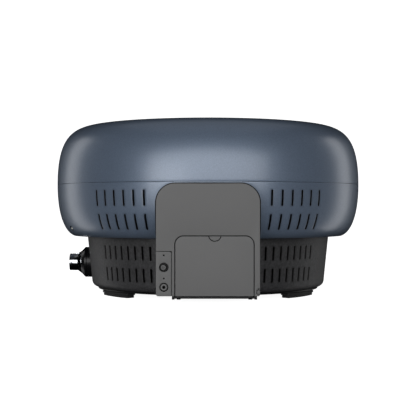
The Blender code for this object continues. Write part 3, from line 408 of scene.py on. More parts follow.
def slab(outlines, sides, facing="-Y"):
    # A section of (inset, height) rows carried along closed outlines, the first one solid and the others
    # holes, with both ends filled flat. Outlines are in X and Z facing -Y, in X and Y facing +Z, in Y and Z
    # facing +X.
    shape = bmesh.new()
    sides = sides if isinstance(sides, list) else [sides] * len(outlines)
    heightAxis = {"-Y": 1, "+Z": 2, "+X": 0}[facing]
    for outline, side in zip(outlines, sides):
        rings = []
        for distance, height in side:
            columns = list(inset(outline, distance).T)
            columns.insert(heightAxis, np.full(len(outline), height))
            rings.append([shape.verts.new(point) for point in np.stack(columns, -1)])
        count = len(outline)
        for near, far in zip(rings[:-1], rings[1:]):
            for index in range(count):
                after = (index + 1) % count
                shape.faces.new((near[index], near[after], far[after], far[index]))
    shape.edges.ensure_lookup_table()
    rims = [edge for edge in shape.edges if len(edge.link_faces) == 1]
    for height in (sides[0][0][1], sides[0][-1][1]):
        rim = [edge for edge in rims if all(abs(v.co[heightAxis] - height) < 1e-7 for v in edge.verts)]
        bmesh.ops.triangle_fill(shape, edges=rim, use_beauty=True, use_dissolve=False)
    shape.verts.ensure_lookup_table()
    shape.verts.index_update()
    points = np.array([vert.co[:] for vert in shape.verts])
    faces = [[vert.index for vert in face.verts] for face in shape.faces]
    shape.free()
    return points, faces


def box(low, high, edge=0.15 * mm, steps=2):
    # A block whose four upright edges and both end faces are softened.
    outline = roundCorners([(low[0], low[1], edge), (high[0], low[1], edge), (high[0], high[1], edge),
                            (low[0], high[1], edge)], steps)
    return slab([outline], softEdges(low[2], high[2], edge, edge, steps), "+Z")


def bezier(start, handle, otherHandle, end, t):
    # Cubic curve of (radius, height) points: each control point weighted by its Bernstein polynomial.
    t = np.asarray(t, float)[:, None]
    start, handle, otherHandle, end = (np.array(p, float) for p in (start, handle, otherHandle, end))
    weights = ((1 - t) ** 3, 3 * t * (1 - t) ** 2, 3 * t * t * (1 - t), t ** 3)
    return sum(w * p for w, p in zip(weights, (start, handle, otherHandle, end)))


def evenly(points, step):
    # Walks along a polyline and puts a point at every step of its length.
    length = np.concatenate([[0], np.cumsum(np.linalg.norm(np.diff(points, axis=0), axis=1))])
    count = max(2, int(round(length[-1] / step)) + 1)
    wanted = np.linspace(0, length[-1], count)
    return np.stack([np.interp(wanted, length, points[:, axis]) for axis in range(points.shape[1])], -1)


def curveNormals(points):
    # Directions square to an (r, z) curve that runs down its outer side, pointing out, mitred at its corners.
    along = np.diff(points, axis=0)
    along /= np.linalg.norm(along, axis=1)[:, None]
    before = np.concatenate([along[:1], along])
    after = np.concatenate([along, along[-1:]])
    normal = np.stack([-(before + after)[:, 1], (before + after)[:, 0]], -1)
    square = np.stack([-before[:, 1], before[:, 0]], -1)
    return normal / (normal * square).sum(1)[:, None]


# Shells of the dome and base

shells = inMetres({
    "radius": 98, "crownZ": 111.3, "seamZ": 70.0, "seamGap": 0.14,
    "rimRadius": 87.35, "rimZ": 37.3, "wall": 2.6, "floorRadius": 58,
    "baseTopRadius": 78.6, "baseTaper": 2.9, "baseBottomZ": 4.5, "baseFillet": 4.1,
    "flange": 1.8, "flangeRadius": 63.5,
    "panelHalfWidth": 29.3, "panelClearance": 0.45, "panelTopZ": 68.85, "panelCorner": 10.8,
    "rimFillet": 0.07, "rimGap": 0.3, "cutFillet": 0.25, "slotFillet": 0.1,
    "ventHole": 1.8, "ventCell": 3.4, "outletHole": 10.15, "outletZ": 19.6,
})
vent = {"share": 0.68, "angle": 66, "cellAngle": 3}   # share of the underside's curve, then degrees from -Y
shellSlots = {"angles": range(22, 43, 4), **inMetres({
    "rows": ((56.2, 65.5), (42.4, 51.5)), "cells": ((67.6, 53.9), (53.9, 40.3)), "width": 1.2})}
baseSlots = {"angles": range(26, 55, 4), **inMetres({
    "rows": ((23.7, 32.2), (10.5, 18.9)), "cells": ((34.4, 21.3), (21.3, 8.7)), "width": 1.3})}
rimFillet, slotEdge = shells["rimFillet"], shells["slotFillet"]


def domeCurve():
    # Two cubic curves, crown to shoulder and shoulder to seam, that meet in one direction.
    radius, seam, crown = shells["radius"], shells["seamZ"], shells["crownZ"]
    shoulder = np.array([radius - 26.17 * mm, crown - 3.07 * mm])
    reach = np.array([23.9 * mm, 23.9 * mm * 0.044])
    top = bezier((0, crown), (23.9 * mm, crown), shoulder + reach * (-1, 1), shoulder, np.linspace(0, 1, 60))
    after = shoulder + np.array([17.9 * mm, -17.9 * mm * 0.044])
    edge = seam + shells["seamGap"] / 2
    side = bezier(shoulder, after, (radius, seam + 28.9 * mm), (radius, edge), np.linspace(0, 1, 90))
    return evenly(np.concatenate([top, side[1:]]), 1.6 * mm)


def undersideCurve():
    # One cubic curve from the seam down to the rim.
    radius, rim = shells["radius"], np.array([shells["rimRadius"], shells["rimZ"]])
    edge = shells["seamZ"] - shells["seamGap"] / 2
    handle = rim + np.array([0.930, 0.368]) * 6.5 * mm
    return bezier((radius, edge), (radius, shells["seamZ"] - 19.3 * mm), handle, rim, np.linspace(0, 1, 400))


def makeDome():
    # The outer curve, a softened lip, and the same curve moved in by the wall, turned about the axis.
    outer = domeCurve()
    normal = curveNormals(outer)
    normal[0], normal[-1] = (0, 1), (1, 0)
    inner = outer - normal * shells["wall"]
    turn = np.linspace(0, math.pi / 2, 4)[1:]
    lip = np.stack([-rimFillet * (1 - np.cos(turn)), -rimFillet * np.sin(turn)], -1)
    lip = lip + outer[-1] + (0, rimFillet)
    outer[-1] += (0, rimFillet)
    inner[-1] = (inner[-1][0], lip[-1][1])
    profile = np.concatenate([outer, lip, inner[::-1]])
    profile[0, 0] = profile[-1, 0] = 0
    steps = 360
    bareAndShade = np.tile(np.arange(len(profile)) >= len(outer) + len(lip), steps).astype(float)
    meshPiece("topDomeShell", lathe(profile, steps), "dome_paint", "top_dome", bareAndShade=bareAndShade)


class ShellSurface:
    # A place on a turned shell is an angle from -Y, a length down its outer curve and a depth into its wall.

    def __init__(self, curve, wall, startAngle, anchor):
        steps = np.linalg.norm(np.diff(curve, axis=0), axis=1)
        self.length = np.concatenate([[0], np.cumsum(steps)])
        self.curve, self.normal = curve, curveNormals(curve)
        self.normal[0] = (1, 0)
        self.normal[-1] = (0, -1)
        self.wall, self.startAngle, self.anchor = wall, startAngle, anchor

    def section(self, length, depth):
        # Radius and height at a length and a depth, from the curve minus its normal times the depth.
        read = lambda values: np.interp(length, self.length, values)
        radius = read(self.curve[:, 0]) - read(self.normal[:, 0]) * depth
        return radius, read(self.curve[:, 1]) - read(self.normal[:, 1]) * depth

    def point(self, angle, length, depth):
        # x = r sin a, y = -r cos a, z = h.
        radius, height = self.section(length, depth)
        return np.stack([radius * np.sin(angle), -radius * np.cos(angle), height], -1)

    def grid(self, share, length):
        # Angles of the grid: a share is an angle past the anchor, and a place in the strip between the cut's
        # edge and the anchor before it. The other side mirrors it.
        radius, height = self.section(length, 0)
        start = self.startAngle(radius, height)
        anchor = np.maximum(self.anchor, start + math.radians(0.12))
        half = math.pi - anchor
        inside = (math.pi - share) / (math.pi - self.anchor)
        angle = np.where(np.abs(inside) <= 1, math.pi - inside * half, 0)
        strip = (np.abs(inside) - 1) * (math.pi - self.anchor)
        nearCut = anchor - strip * (anchor - start) / self.stripWidth
        return np.where(inside > 1, nearCut, np.where(inside < -1, 2 * math.pi - nearCut, angle))


def perforatedShell(surface, columns, lengths, depths, holes):
    # Two grids of (angle, length), one on each face of the wall, left open where a hole's cell is. Each cell
    # is filled by rings that go from its frame to the hole's round-ended outline, down through the wall and
    # out to the frame on the other face.
    surface.stripWidth = surface.anchor - columns[0]
    columnGrid, lengthGrid = np.meshgrid(columns, lengths, indexing="ij")
    wallGrid = np.broadcast_to(surface.wall(lengths), lengthGrid.shape)
    outerDepth = np.maximum(depths[0][:, None], depths[1][None, :])
    angle = surface.grid(columnGrid, lengthGrid)
    keep = np.ones((len(columns) - 1, len(lengths) - 1), bool)
    for hole in holes:
        i0, i1, j0, j1 = hole["cell"]
        keep[i0:i1, j0:j1] = False
    quads = np.array(gridFaces(len(columns), len(lengths))).reshape(len(columns) - 1, len(lengths) - 1, 4)
    solids, bareAndShade = [], []
    for share, depth in enumerate((outerDepth, wallGrid)):
        solids.append((surface.point(angle, lengthGrid, depth).reshape(-1, 3), quads[keep].tolist()))
        bareAndShade.append(np.full(lengthGrid.size, float(share)))
    edges = [(slice(0, 1), slice(None)), (slice(-1, None), slice(None)), (slice(None), slice(0, 1)),
             (slice(None), slice(-1, None))]
    for edge in edges:
        a, s, low, high = (grid[edge].ravel() for grid in (angle, lengthGrid, outerDepth, wallGrid))
        across = np.linspace(0, 1, 4)[:, None]
        rows = surface.point(a[None], s[None] + 0 * across, low[None] * (1 - across) + high[None] * across)
        solids.append((rows.reshape(-1, 3), gridFaces(4, len(a))))
        bareAndShade.append(np.repeat(np.clip(across.ravel() * 3, 0, 1), len(a)))
    for hole in holes:
        points, faces = holeRings(surface, angle, lengths, hole)
        solids.append((points, faces))
        bareAndShade.append(np.repeat([0, 0, 0.3, 0.7, 1, 1, 1, 1], len(points) // 8))
    return (*together(*solids), np.concatenate(bareAndShade))


def holeRings(surface, angle, lengths, hole):
    # Rings from a cell's frame to the hole's round-ended outline: each point moves along its own ray from the
    # hole's middle line, by a share of the way.
    i0, i1, j0, j1 = hole["cell"]
    i = np.concatenate([np.arange(i0, i1), np.full(j1 - j0, i1), np.arange(i1, i0, -1), np.full(j1 - j0, i0)])
    j = np.concatenate([np.full(i1 - i0, j0), np.arange(j0, j1), np.full(i1 - i0, j1), np.arange(j1, j0, -1)])
    frameAngle, frameLength = angle[i, j], lengths[j]
    wall = surface.wall(frameLength)
    rise = frameLength - hole["length"]
    beyond = np.clip(np.abs(rise) - hole["half"], 0, None) * np.sign(rise)

    def ring(share, grow, depth):
        # share 0 is the cell's frame and 1 the hole's outline, grown by a little near each face.
        radius = surface.section(frameLength, depth)[0]
        across = radius * np.sin(frameAngle - hole["angle"])
        reach = np.hypot(across, beyond)
        size = (hole["radius"] + grow) / np.where(beyond == 0, np.abs(across), reach)
        holeAcross = across * size
        holeRise = np.where(beyond == 0, rise, beyond * size + np.sign(rise) * hole["half"])
        nowAcross = across + share * (holeAcross - across)
        nowLength = hole["length"] + rise + share * (holeRise - rise)
        return surface.point(hole["angle"] + np.arcsin(nowAcross / radius), nowLength, depth)

    edge, turn = slotEdge, np.linspace(0, math.pi / 2, 4)
    rings = [ring(0, 0, 0 * wall), ring(0.55, edge, 0 * wall)]
    rings += [ring(1, edge * (1 - np.sin(t)), edge * (1 - np.cos(t)) + 0 * wall) for t in turn]
    rings += [ring(1, 0, wall), ring(0, 0, wall)]
    rings = [np.concatenate([r, r[:1]]) for r in rings]
    return np.concatenate(rings), gridFaces(len(rings), len(rings[0]))


def slotColumns(angles, first, coarse):
    # Angles of the grid's columns: six to each slot's cell, an even coarser spacing elsewhere.
    low, high = min(angles) - 2, max(angles) + 2
    fine = np.linspace(low, high, (high - low) * 6 // 4 + 1)
    back = 180 - fine[::-1]
    middle = np.linspace(high, 180 - high, int(round((180 - 2 * high) / coarse)) + 1)
    rear = np.linspace(180 - low, 180 + low, int(round(2 * low / coarse)) + 1)
    half = np.concatenate([fine, middle[1:-1], back])
    whole = np.concatenate([half, rear[1:-1], 360 - half[::-1]])
    strip = low - (low - first) * np.array([1, 0.97, 0.88, 0.5])
    return np.radians(np.concatenate([strip, whole, 360 - strip[::-1]]))


def nearest(values, wanted):
    # Index of the value with the smallest difference.
    return int(np.argmin(np.abs(values - wanted)))


def slotHoles(columns, lengths, slots, lengthAt):
    # One hole for each slot angle on both sides of -Y and of +Y, in each row.
    holes = []
    for (low, high), (top, bottom) in zip(slots["rows"], slots["cells"]):
        j0, j1 = nearest(lengths, lengthAt(top)), nearest(lengths, lengthAt(bottom))
        middle = (lengthAt(low) + lengthAt(high)) / 2
        radius = slots["width"] / 2
        half = abs(lengthAt(low) - lengthAt(high)) / 2 - radius
        for base, side in ((0, 1), (180, -1), (180, 1), (360, -1)):
            for slot in slots["angles"]:
                at = math.radians(base + side * slot)
                i0 = nearest(columns, at - math.radians(2))
                i1 = nearest(columns, at + math.radians(2))
                holes.append({"cell": (i0, i1, j0, j1), "angle": at, "length": middle, "half": half,
                              "radius": radius})
    return holes


def ventedPiece(name, surface, columns, lengths, holes, slot, node):
    # Both faces of the wall, the rim above drawn in by a small fillet and the panel's cut by a larger one.
    rowDepth, columnDepth = np.zeros(len(lengths)), np.zeros(len(columns))
    rowDepth[:3] = np.array([1, 0.3, 0]) * rimFillet
    columnDepth[[0, 1, -2, -1]] = np.array([1, 0.3, 0.3, 1]) * shells["cutFillet"]
    # The wall's inside is unpainted black moulding; the slots' walls are painted black too, as painted shade.
    points, faces, bareAndShade = perforatedShell(surface, columns, lengths, (columnDepth, rowDepth), holes)
    meshPiece(name, (points, faces), slot, node, bareAndShade=bareAndShade)


def makeLowerShell():
    # The underside's curve and a flat floor, turned, with the panel's way in, two rows of slots and the
    # vent's hole.
    curve = undersideCurve()
    across = np.linspace(shells["rimRadius"], shells["floorRadius"], 12)
    floor = np.stack([across, np.full(12, shells["rimZ"])], -1)
    curve = np.concatenate([curve, floor[1:]])
    clearX = shells["panelHalfWidth"] + shells["panelClearance"]
    corner = shells["panelCorner"] + shells["panelClearance"]
    topZ = shells["panelTopZ"] + shells["panelClearance"]

    def cutAngle(radius, height):
        # The panel's way in: upright sides, then an arc at the top corner.
        over = np.clip(height - (topZ - corner), 0, corner)
        x = clearX - corner + np.sqrt(corner ** 2 - over ** 2)
        return np.arcsin(np.clip(x / radius, 0, 1))

    surface = ShellSurface(curve, lambda length: np.full(np.shape(length), shells["wall"]), cutAngle,
                           math.radians(20))
    lengthAt = lambda z: float(np.interp(-z, -undersideCurve()[:, 1], surface.length[:400]))
    marks = [lengthAt(z) for z in (*shellSlots["cells"][0], shellSlots["cells"][1][1])]
    edgeRows = np.array([0, 0.3, 1]) * rimFillet
    lengths = np.concatenate([
        edgeRows, np.linspace(rimFillet, marks[0], 4)[1:], np.linspace(marks[0], marks[1], 17)[1:],
        np.linspace(marks[1], marks[2], 19)[1:], np.linspace(marks[2], surface.length[399], 7)[1:],
        surface.length[400:]])
    columns = slotColumns(shellSlots["angles"], 17, 1.5)
    holes = slotHoles(columns, lengths, shellSlots, lengthAt)
    # The vent's hole is on the left: its cell is as many columns wide as the same one on the right.
    angle, beside = math.radians(vent["angle"]), math.radians(vent["cellAngle"])
    wide = nearest(columns, angle + beside) - nearest(columns, angle - beside)
    first = nearest(columns, 2 * math.pi - angle - beside)
    ventLength, reach = bezierLength(surface, vent["share"]), shells["ventCell"]
    holes.append({
        "cell": (first, first + wide, nearest(lengths, ventLength - reach),
                 nearest(lengths, ventLength + reach)),
        "angle": 2 * math.pi - angle, "length": ventLength, "half": 0.0, "radius": shells["ventHole"]})
    ventedPiece("lowerShellVented", surface, columns, lengths, holes, "dome_paint", "lower_shell")
    return surface


def bezierLength(surface, t):
    # Length down the shell at a share of the underside curve's 400 points.
    return float(surface.length[int(round(t * 399))])


def makeBase():
    # A straight, slightly tapered side, a quarter round and a flange, turned, with two rows of slots and the
    # outlet.
    top, taper = shells["baseTopRadius"], shells["baseTaper"]
    bottom, fillet = shells["baseBottomZ"], shells["baseFillet"]
    centre = np.array([top - taper - fillet, bottom + fillet])
    turn = np.linspace(0, math.pi / 2, 9)
    arc = centre + fillet * np.stack([np.cos(turn), -np.sin(turn)], -1)
    levels = np.linspace(shells["rimZ"] - shells["rimGap"], arc[0][1], 60)
    side = np.stack([np.linspace(top, top - taper, 60), levels], -1)
    flange = np.stack([np.linspace(arc[-1][0], shells["flangeRadius"], 4), np.full(4, bottom)], -1)
    curve = np.concatenate([side, arc[1:], flange[1:]])
    clearX = shells["panelHalfWidth"] + shells["panelClearance"]
    sideLength = np.hypot(taper, side[0][1] - side[-1][1])

    def wall(length):
        return np.interp(length, [0, sideLength, sideLength + 6 * mm, 1], [shells["wall"], shells["wall"],
                                                                         shells["flange"], shells["flange"]])

    surface = ShellSurface(curve, wall, lambda radius, height: np.arcsin(np.clip(clearX / radius, 0, 1)),
                           math.radians(24))
    lengthAt = lambda z: float((side[0][1] - z) / (side[0][1] - side[-1][1]) * sideLength)
    marks = [lengthAt(z) for z in (*baseSlots["cells"][0], baseSlots["cells"][1][1])]
    lengths = np.concatenate([
        np.array([0, 0.3, 1]) * rimFillet, np.linspace(rimFillet, marks[0], 3)[1:],
        np.linspace(marks[0], marks[1], 17)[1:], np.linspace(marks[1], marks[2], 17)[1:],
        surface.length[60:]])
    columns = slotColumns(baseSlots["angles"], 22, 1.25)
    holes = slotHoles(columns, lengths, baseSlots, lengthAt)
    outlet, reach = math.radians(270), math.radians(9.9)
    holes.append({
        "cell": (nearest(columns, outlet - reach), nearest(columns, outlet + reach),
                 nearest(lengths, marks[0]), nearest(lengths, marks[2])),
        "angle": outlet, "length": lengthAt(shells["outletZ"]), "half": 0.0, "radius": shells["outletHole"]})
    ventedPiece("baseShellVented", surface, columns, lengths, holes, "base_plastic", "base_housing")


makeDome()
lowerSurface = makeLowerShell()
makeBase()
print("shells made")


# Panel block, with the battery door's opening and the port strip's pocket

panel = inMetres({
    "frontY": -98, "halfWidth": 29.3, "bottomZ": 5.3, "topZ": 68.85, "topCorner": 10.8,
    "bottomCorner": 1.0, "backY": -70.5, "wall": 2.4, "sideWall": 2.0, "edge": 0.2,
    "pocketDepth": 1.4, "pocketRight": -20.4, "pocketTop": 30.7, "floorFrontY": -88,
    "attic": 18.5,
    "bead": {"side": 0.8, "top": 0.6, "proud": 0.15, "thickness": 2.4},
    "sill": {"low": (-20.2, 4.3), "high": (27.0, 7.3), "ends": (-95.2, -94.8),
             "edge": 0.08},
    "landing": {"outer": ((-20.4, 7.3), (27.3, 41.5)),
                "rim": ((-18.9, 7.8), (26.2, 39.5)),
                "lip": ((-16.6, 8.6), (23.9, 36.9)),
                "rows": (-95.6, -94.4, -94.0)},
})
door = inMetres({
    "left": -18.45, "right": 25.75, "topZ": 39.05, "thickness": 2.2, "corner": 4.6,
    "gap": 0.45, "edge": 0.18, "latchX": 3.85, "latchZ": 39.77, "scoop": 3.72,
    "latch": 3.32, "latchThickness": 2.4,
})
hinge = inMetres({
    "y": -96.7, "z": 4.4, "pin": 0.6, "bore": 0.68, "knuckle": 1.05, "webTop": 6.4,
    "lugReach": 1.9, "knuckleWidth": 2.2, "knuckleInset": 0.8,
})
ports = inMetres({
    "x": -24.85, "plateRight": -20.7, "plateTop": 30.4, "plateCorner": 1.2, "proud": 0.3,
    "plateBackY": -96.9, "buttonZ": 21.6, "buttonX": -25.05, "buttonRadius": 1.45,
    "collarRadius": 2.37, "socketZ": 10.4, "socketRadius": 2.25, "lightZ": (28.35, 15.3),
    "lightHole": 0.5, "gap": 0.3,
})
tether = inMetres({
    "x": 28.45, "halfWidth": 0.8, "low": 6.7, "high": 8.6, "eyeZ": 9.5, "eye": (0.62, 0.42),
})


def doorEdge(grow):
    # Sides and top of the battery door, grown by its gap: left, right, top and corner radius.
    return door["left"] - grow, door["right"] + grow, door["topZ"] + grow, door["corner"] + grow


def paintedJointShade(solid, edge):
    # 1 at the points deeper than the softened edge and away from the block's own sides, roof and underside:
    # the joints' walls, drawn black as painted shade.
    x, y, z = solid[0].T
    return ((y > panel["frontY"] + 0.95 * edge) & (np.abs(x) < panel["halfWidth"] - 0.1 * mm)
            & (z > panel["bottomZ"] + 0.05 * mm) & (z < 45 * mm)).astype(float)


def makePanel():
    # The block as five slabs, one behind the other, whose outlines share their places.
    half, low, top, corner, small = (panel[key] for key in ("halfWidth", "bottomZ", "topZ", "topCorner",
                                                          "bottomCorner"))
    left, right, doorTop, doorCorner = doorEdge(door["gap"])
    front, pocketBack, back = panel["frontY"], panel["frontY"] + panel["pocketDepth"], panel["backY"]
    wallBack = front + panel["wall"]
    lugLow, lugHigh = tether["low"] - 0.3 * mm, tether["high"] + 0.3 * mm
    lugLeft = tether["x"] - tether["halfWidth"] - 0.3 * mm
    doorway = [(left, low, 0), (left, doorTop, doorCorner), (right, doorTop, doorCorner)]
    # Front face: the doorway, the port strip's pocket and the tether's notch are cut out of one outline.
    face = roundCorners([
        (right, low, 0), (half, low, small), (half, lugLow, 0), (lugLeft, lugLow, 0.4 * mm),
        (lugLeft, lugHigh, 0.4 * mm), (half, lugHigh, 0), (half, top, corner), (-half, top, corner),
        (-half, panel["pocketTop"], 0), (panel["pocketRight"], panel["pocketTop"], 0),
        (panel["pocketRight"], low, 0)] + doorway, 12)
    turn = np.linspace(0, -2 * math.pi, 24, endpoint=False)
    eye = np.stack([tether["x"] + tether["eye"][0] * np.cos(turn),
                    tether["eyeZ"] + tether["eye"][1] * np.sin(turn)], -1)
    # Behind it, the pocket's floor with the ways for the button, the inlet and the lights.
    behind = roundCorners([(right, low, 0), (half, low, small), (half, top, corner), (-half, top, corner),
                           (-half, low, small)] + doorway, 12)
    ways = [circleOutline(ports["buttonX"], ports["buttonZ"], ports["buttonRadius"] + ports["gap"]),
            circleOutline(ports["x"], ports["socketZ"], ports["socketRadius"] + ports["gap"])]
    ways += [circleOutline(ports["x"], height, 0.6 * mm, 16) for height in ports["lightZ"]]
    # Then the side walls and roof, and behind the doorway a floor too.
    inner, attic, floorTop = half - panel["sideWall"], panel["attic"], low + panel["sideWall"]
    ceiling, step = top - panel["wall"], top - corner
    hood = roundCorners([
        (right, low, 0), (half, low, small), (half, top, corner), (-half, top, corner), (-half, low, small),
        (left, low, 0), (left, floorTop, 0), (-inner, floorTop, 0.5 * mm), (-inner, step, 0.5 * mm),
        (-attic, step, 0), (-attic, ceiling, 0.5 * mm), (attic, ceiling, 0.5 * mm), (attic, step, 0),
        (inner, step, 0.5 * mm), (inner, floorTop, 0.5 * mm), (right, floorTop, 0)], 12)
    outer = roundCorners([(-half, low, small), (half, low, small), (half, top, corner),
                          (-half, top, corner)], 12)
    fillet = 0.5 * mm
    room = roundCorners([
        (-inner, floorTop, fillet), (-inner, step, fillet), (-attic, step, 0), (-attic, ceiling, fillet),
        (attic, ceiling, fillet), (attic, step, 0), (inner, step, fillet), (inner, floorTop, fillet)], 4)
    edge = panel["edge"]
    solid = together(
        slab([face, eye], [softEdges(front, pocketBack, edge), softEdges(front, pocketBack, 0.04 * mm)]),
        slab([behind] + ways, softEdges(pocketBack, wallBack, 0.02 * mm, steps=2)),
        slab([hood], softEdges(wallBack, panel["floorFrontY"], 0.02 * mm, steps=2)),
        slab([outer, room], softEdges(panel["floorFrontY"], back, 0.02 * mm, 0.2 * mm, 2)),
        *sealLanding())
    # The walls of the doorway, pocket and eye are drawn black, as painted shade.
    meshPiece("panelBlock", solid, "panel_paint", "rear_housing", bareAndShade=paintedJointShade(solid, edge))


def alongShell(name, rings, proud, thickness, slot):
    # A strip between two (x, z) paths, laid over the shell: y = -sqrt(r(z)^2 - x^2) less what it stands
    # proud, with r(z) read off the shell's curve, and the same moved back by the thickness behind it.
    curve = undersideCurve()[::-1]
    columns = []
    for ring, deep in ((rings[0], 0), (rings[1], 0), (rings[1], thickness), (rings[0], thickness)):
        radius = np.interp(ring[:, 1], curve[:, 1], curve[:, 0])
        x, z = ring.T
        columns.append(np.stack([x, deep - proud - np.sqrt(radius ** 2 - x ** 2), z], -1))
    columns.append(columns[0])
    points = np.stack(columns, 1).reshape(-1, 3)
    count = len(rings[0])
    ends = [[station * 5 + column for column in range(4)] for station in (0, count - 1)]
    meshPiece(name, (points, gridFaces(count, 5) + ends), slot)


def makeJointShadeStrip():
    # Black strip laid over the joint round the block, a painted shade for the shadow gap there, and the
    # shell's narrow bridge between the block and the seam.
    bead, half, top, corner = panel["bead"], panel["halfWidth"], panel["topZ"], panel["topCorner"]
    rings = []
    for side, over in ((0, 0), (bead["side"], bead["top"])):
        path = roundCorners([
            (half + side, shells["rimZ"], 0), (half + side, top + over, corner + side),
            (-half - side, top + over, corner + side), (-half - side, shells["rimZ"], 0)], 24)
        parts = [np.linspace(a, b, 13)[1:] for a, b in zip(path[:-1], path[1:])]
        rings.append(np.concatenate([path[:1]] + parts))
    alongShell("jointShadeStrip", rings, bead["proud"], bead["thickness"], "black_plastic")
    across = np.linspace(19.5 * mm, -19.5 * mm, 61)
    low, high = top + bead["top"] - 0.1 * mm, shells["seamZ"] - shells["seamGap"] / 2
    rings = [np.stack([across, np.full(61, height)], -1) for height in (low, high)]
    alongShell("shellBridge", rings, 0.01 * mm, shells["wall"], "dome_paint")


def sealLanding():
    # Flange behind the doorway that the door's seal closes against: one frame the width of the doorway, and a
    # narrower one behind it.
    landing = panel["landing"]
    (x0, z0), (x1, z1) = landing["outer"]
    frames = []
    for (left, low), (right, high), radius in ((*landing["rim"], 4.6 * mm), (*landing["lip"], 2.5 * mm)):
        frames.append(roundCorners([(left, low, 0.8 * mm), (left, high, radius), (right, high, radius),
                                    (right, low, 0.8 * mm)], 8))
    outside = rectangle(x0, z0, x1, z1, 0.3 * mm, 3)
    rows = landing["rows"]
    return (slab([outside, frames[0]], softEdges(rows[0], rows[1], 0.02 * mm, steps=2)),
            slab([outside, frames[1]], softEdges(rows[1], rows[2], 0.1 * mm, steps=2)))


def makeShadedFiller():
    # Black strip below the flange, behind the hinge, that closes the opening below the door and is drawn
    # black
    # as painted shade under it: a rounded rectangle carried along -Y.
    sill = panel["sill"]
    (x0, z0), (x1, z1) = sill["low"], sill["high"]
    strip = roundCorners([(x0, z0, 0.3 * mm), (x1, z0, 0.3 * mm), (x1, z1, 0.1 * mm), (x0, z1, 0.1 * mm)], 4)
    solid = slab([strip], softEdges(*sill["ends"], sill["edge"], sill["edge"], 2))
    meshPiece("hingeShadedFiller", solid, "black_plastic")


def hingeEye(low, high):
    # A round eye with a bore, below a flat web: the outline of both, carried along X.
    turn = np.linspace(math.pi, 2 * math.pi, 17)
    y, z, radius = hinge["y"], hinge["z"], hinge["knuckle"]
    outline = np.concatenate([
        np.stack([y + radius * np.cos(turn), z + radius * np.sin(turn)], -1),
        [(y + radius, hinge["webTop"]), (y - radius, hinge["webTop"])]])
    bore = circleOutline(y, z, hinge["bore"], 24)
    return slab([outline, bore], softEdges(low, high, 0.1 * mm, 0.1 * mm, 2), "+X")


def makeHinge():
    # Two eyes on the block outside two eyes on the door, and a turned pin through all four.
    left, right, gap = door["left"], door["right"], door["gap"]
    reach = hinge["lugReach"]
    lugs = together(hingeEye(left - reach, left - gap), hingeEye(right + gap, right + reach))
    meshPiece("hingeLugs", lugs, "black_plastic")
    inner, width = hinge["knuckleInset"], hinge["knuckleWidth"]
    knuckles = together(hingeEye(left + inner, left + inner + width),
                        hingeEye(right - inner - width, right - inner))
    meshPiece("doorKnuckles", knuckles, "black_plastic", body="door")
    # Pin with small chamfers at its ends.
    start, end = left - reach + 0.1 * mm, right + reach - 0.1 * mm
    radius, chamfer = hinge["pin"], 0.15 * mm
    profile = [(0, end), (radius - chamfer, end), (radius, end - chamfer), (radius, start + chamfer),
               (radius - chamfer, start), (0, start)]
    solid = lathe(profile, 32, (1, 0, 0), (0, hinge["y"], hinge["z"]))
    meshPiece("hingeRod", solid, "black_metal", "door_hinge_pin")


def makeDoor():
    # A round-cornered plate with an arc bitten out of its top, and a plate inside that arc.
    left, right, top, corner = doorEdge(0)
    outline = roundCorners([(left, panel["bottomZ"], 0), (right, panel["bottomZ"], 0), (right, top, corner),
                            (left, top, corner)], 12)
    dip = math.asin((door["latchZ"] - top) / door["scoop"])
    turn = np.linspace(-dip, dip - math.pi, 41)
    centre = np.array([door["latchX"], door["latchZ"]])
    scoop = centre + door["scoop"] * np.stack([np.cos(turn), np.sin(turn)], -1)
    outline = np.concatenate([outline[:15], scoop, outline[15:]])
    front, back, edge = panel["frontY"], panel["frontY"] + door["thickness"], door["edge"]
    solid = slab([outline], softEdges(front, back, edge, 0.1 * mm))
    # The door's side walls in the gap are drawn black, as painted shade.
    meshPiece("doorPanel", solid, "panel_paint", "battery_door", "door", bareAndShade=paintedJointShade(solid, edge))
    # Half-moon thumb piece, with a softened rim.
    dip = math.asin((door["latchZ"] - top) / door["latch"])
    turn = np.linspace(dip - math.pi, -dip, 41)
    moon = centre + door["latch"] * np.stack([np.cos(turn), np.sin(turn)], -1)
    solid = slab([moon], softEdges(front, front + door["latchThickness"], 0.12 * mm, 0.1 * mm))
    # The latch's side walls in the gap are drawn black, as painted shade.
    meshPiece("thumbLatch", solid, "panel_paint", "door_latch", "latch", bareAndShade=paintedJointShade(solid, 0.12 * mm))
    # Seal and foam pad on the door's inner side.
    start = back + 0.3 * mm
    low, high = 8.0 * mm, top - 3.8 * mm
    frames = []
    for shrink, radius in ((0, 3 * mm), (1.2 * mm, 2 * mm)):
        x0, x1, z0, z1 = left + 1.2 * mm + shrink, right - 1.2 * mm - shrink, low + shrink, high - shrink
        frames.append(rectangle(x0, z0, x1, z1, radius, 8))
    solid = slab([frames[0], frames[1][::-1]], softEdges(start, back + 1.2 * mm, 0.2 * mm, 0.4 * mm))
    meshPiece("doorSeal", solid, "rubber", "door_seal", "door")
    lowX, highX, lowZ, highZ = battery["x"] - 15 * mm, battery["x"] + 15 * mm, 11.1 * mm, 27.6 * mm
    pad = rectangle(lowX, lowZ, highX, highZ, 1.5 * mm, 6)
    solid = slab([pad], softEdges(start, battery["frontY"] - 1.0 * mm, 0.1 * mm, 0.5 * mm))
    meshPiece("batteryPad", solid, "rubber", "door_pad", "door")


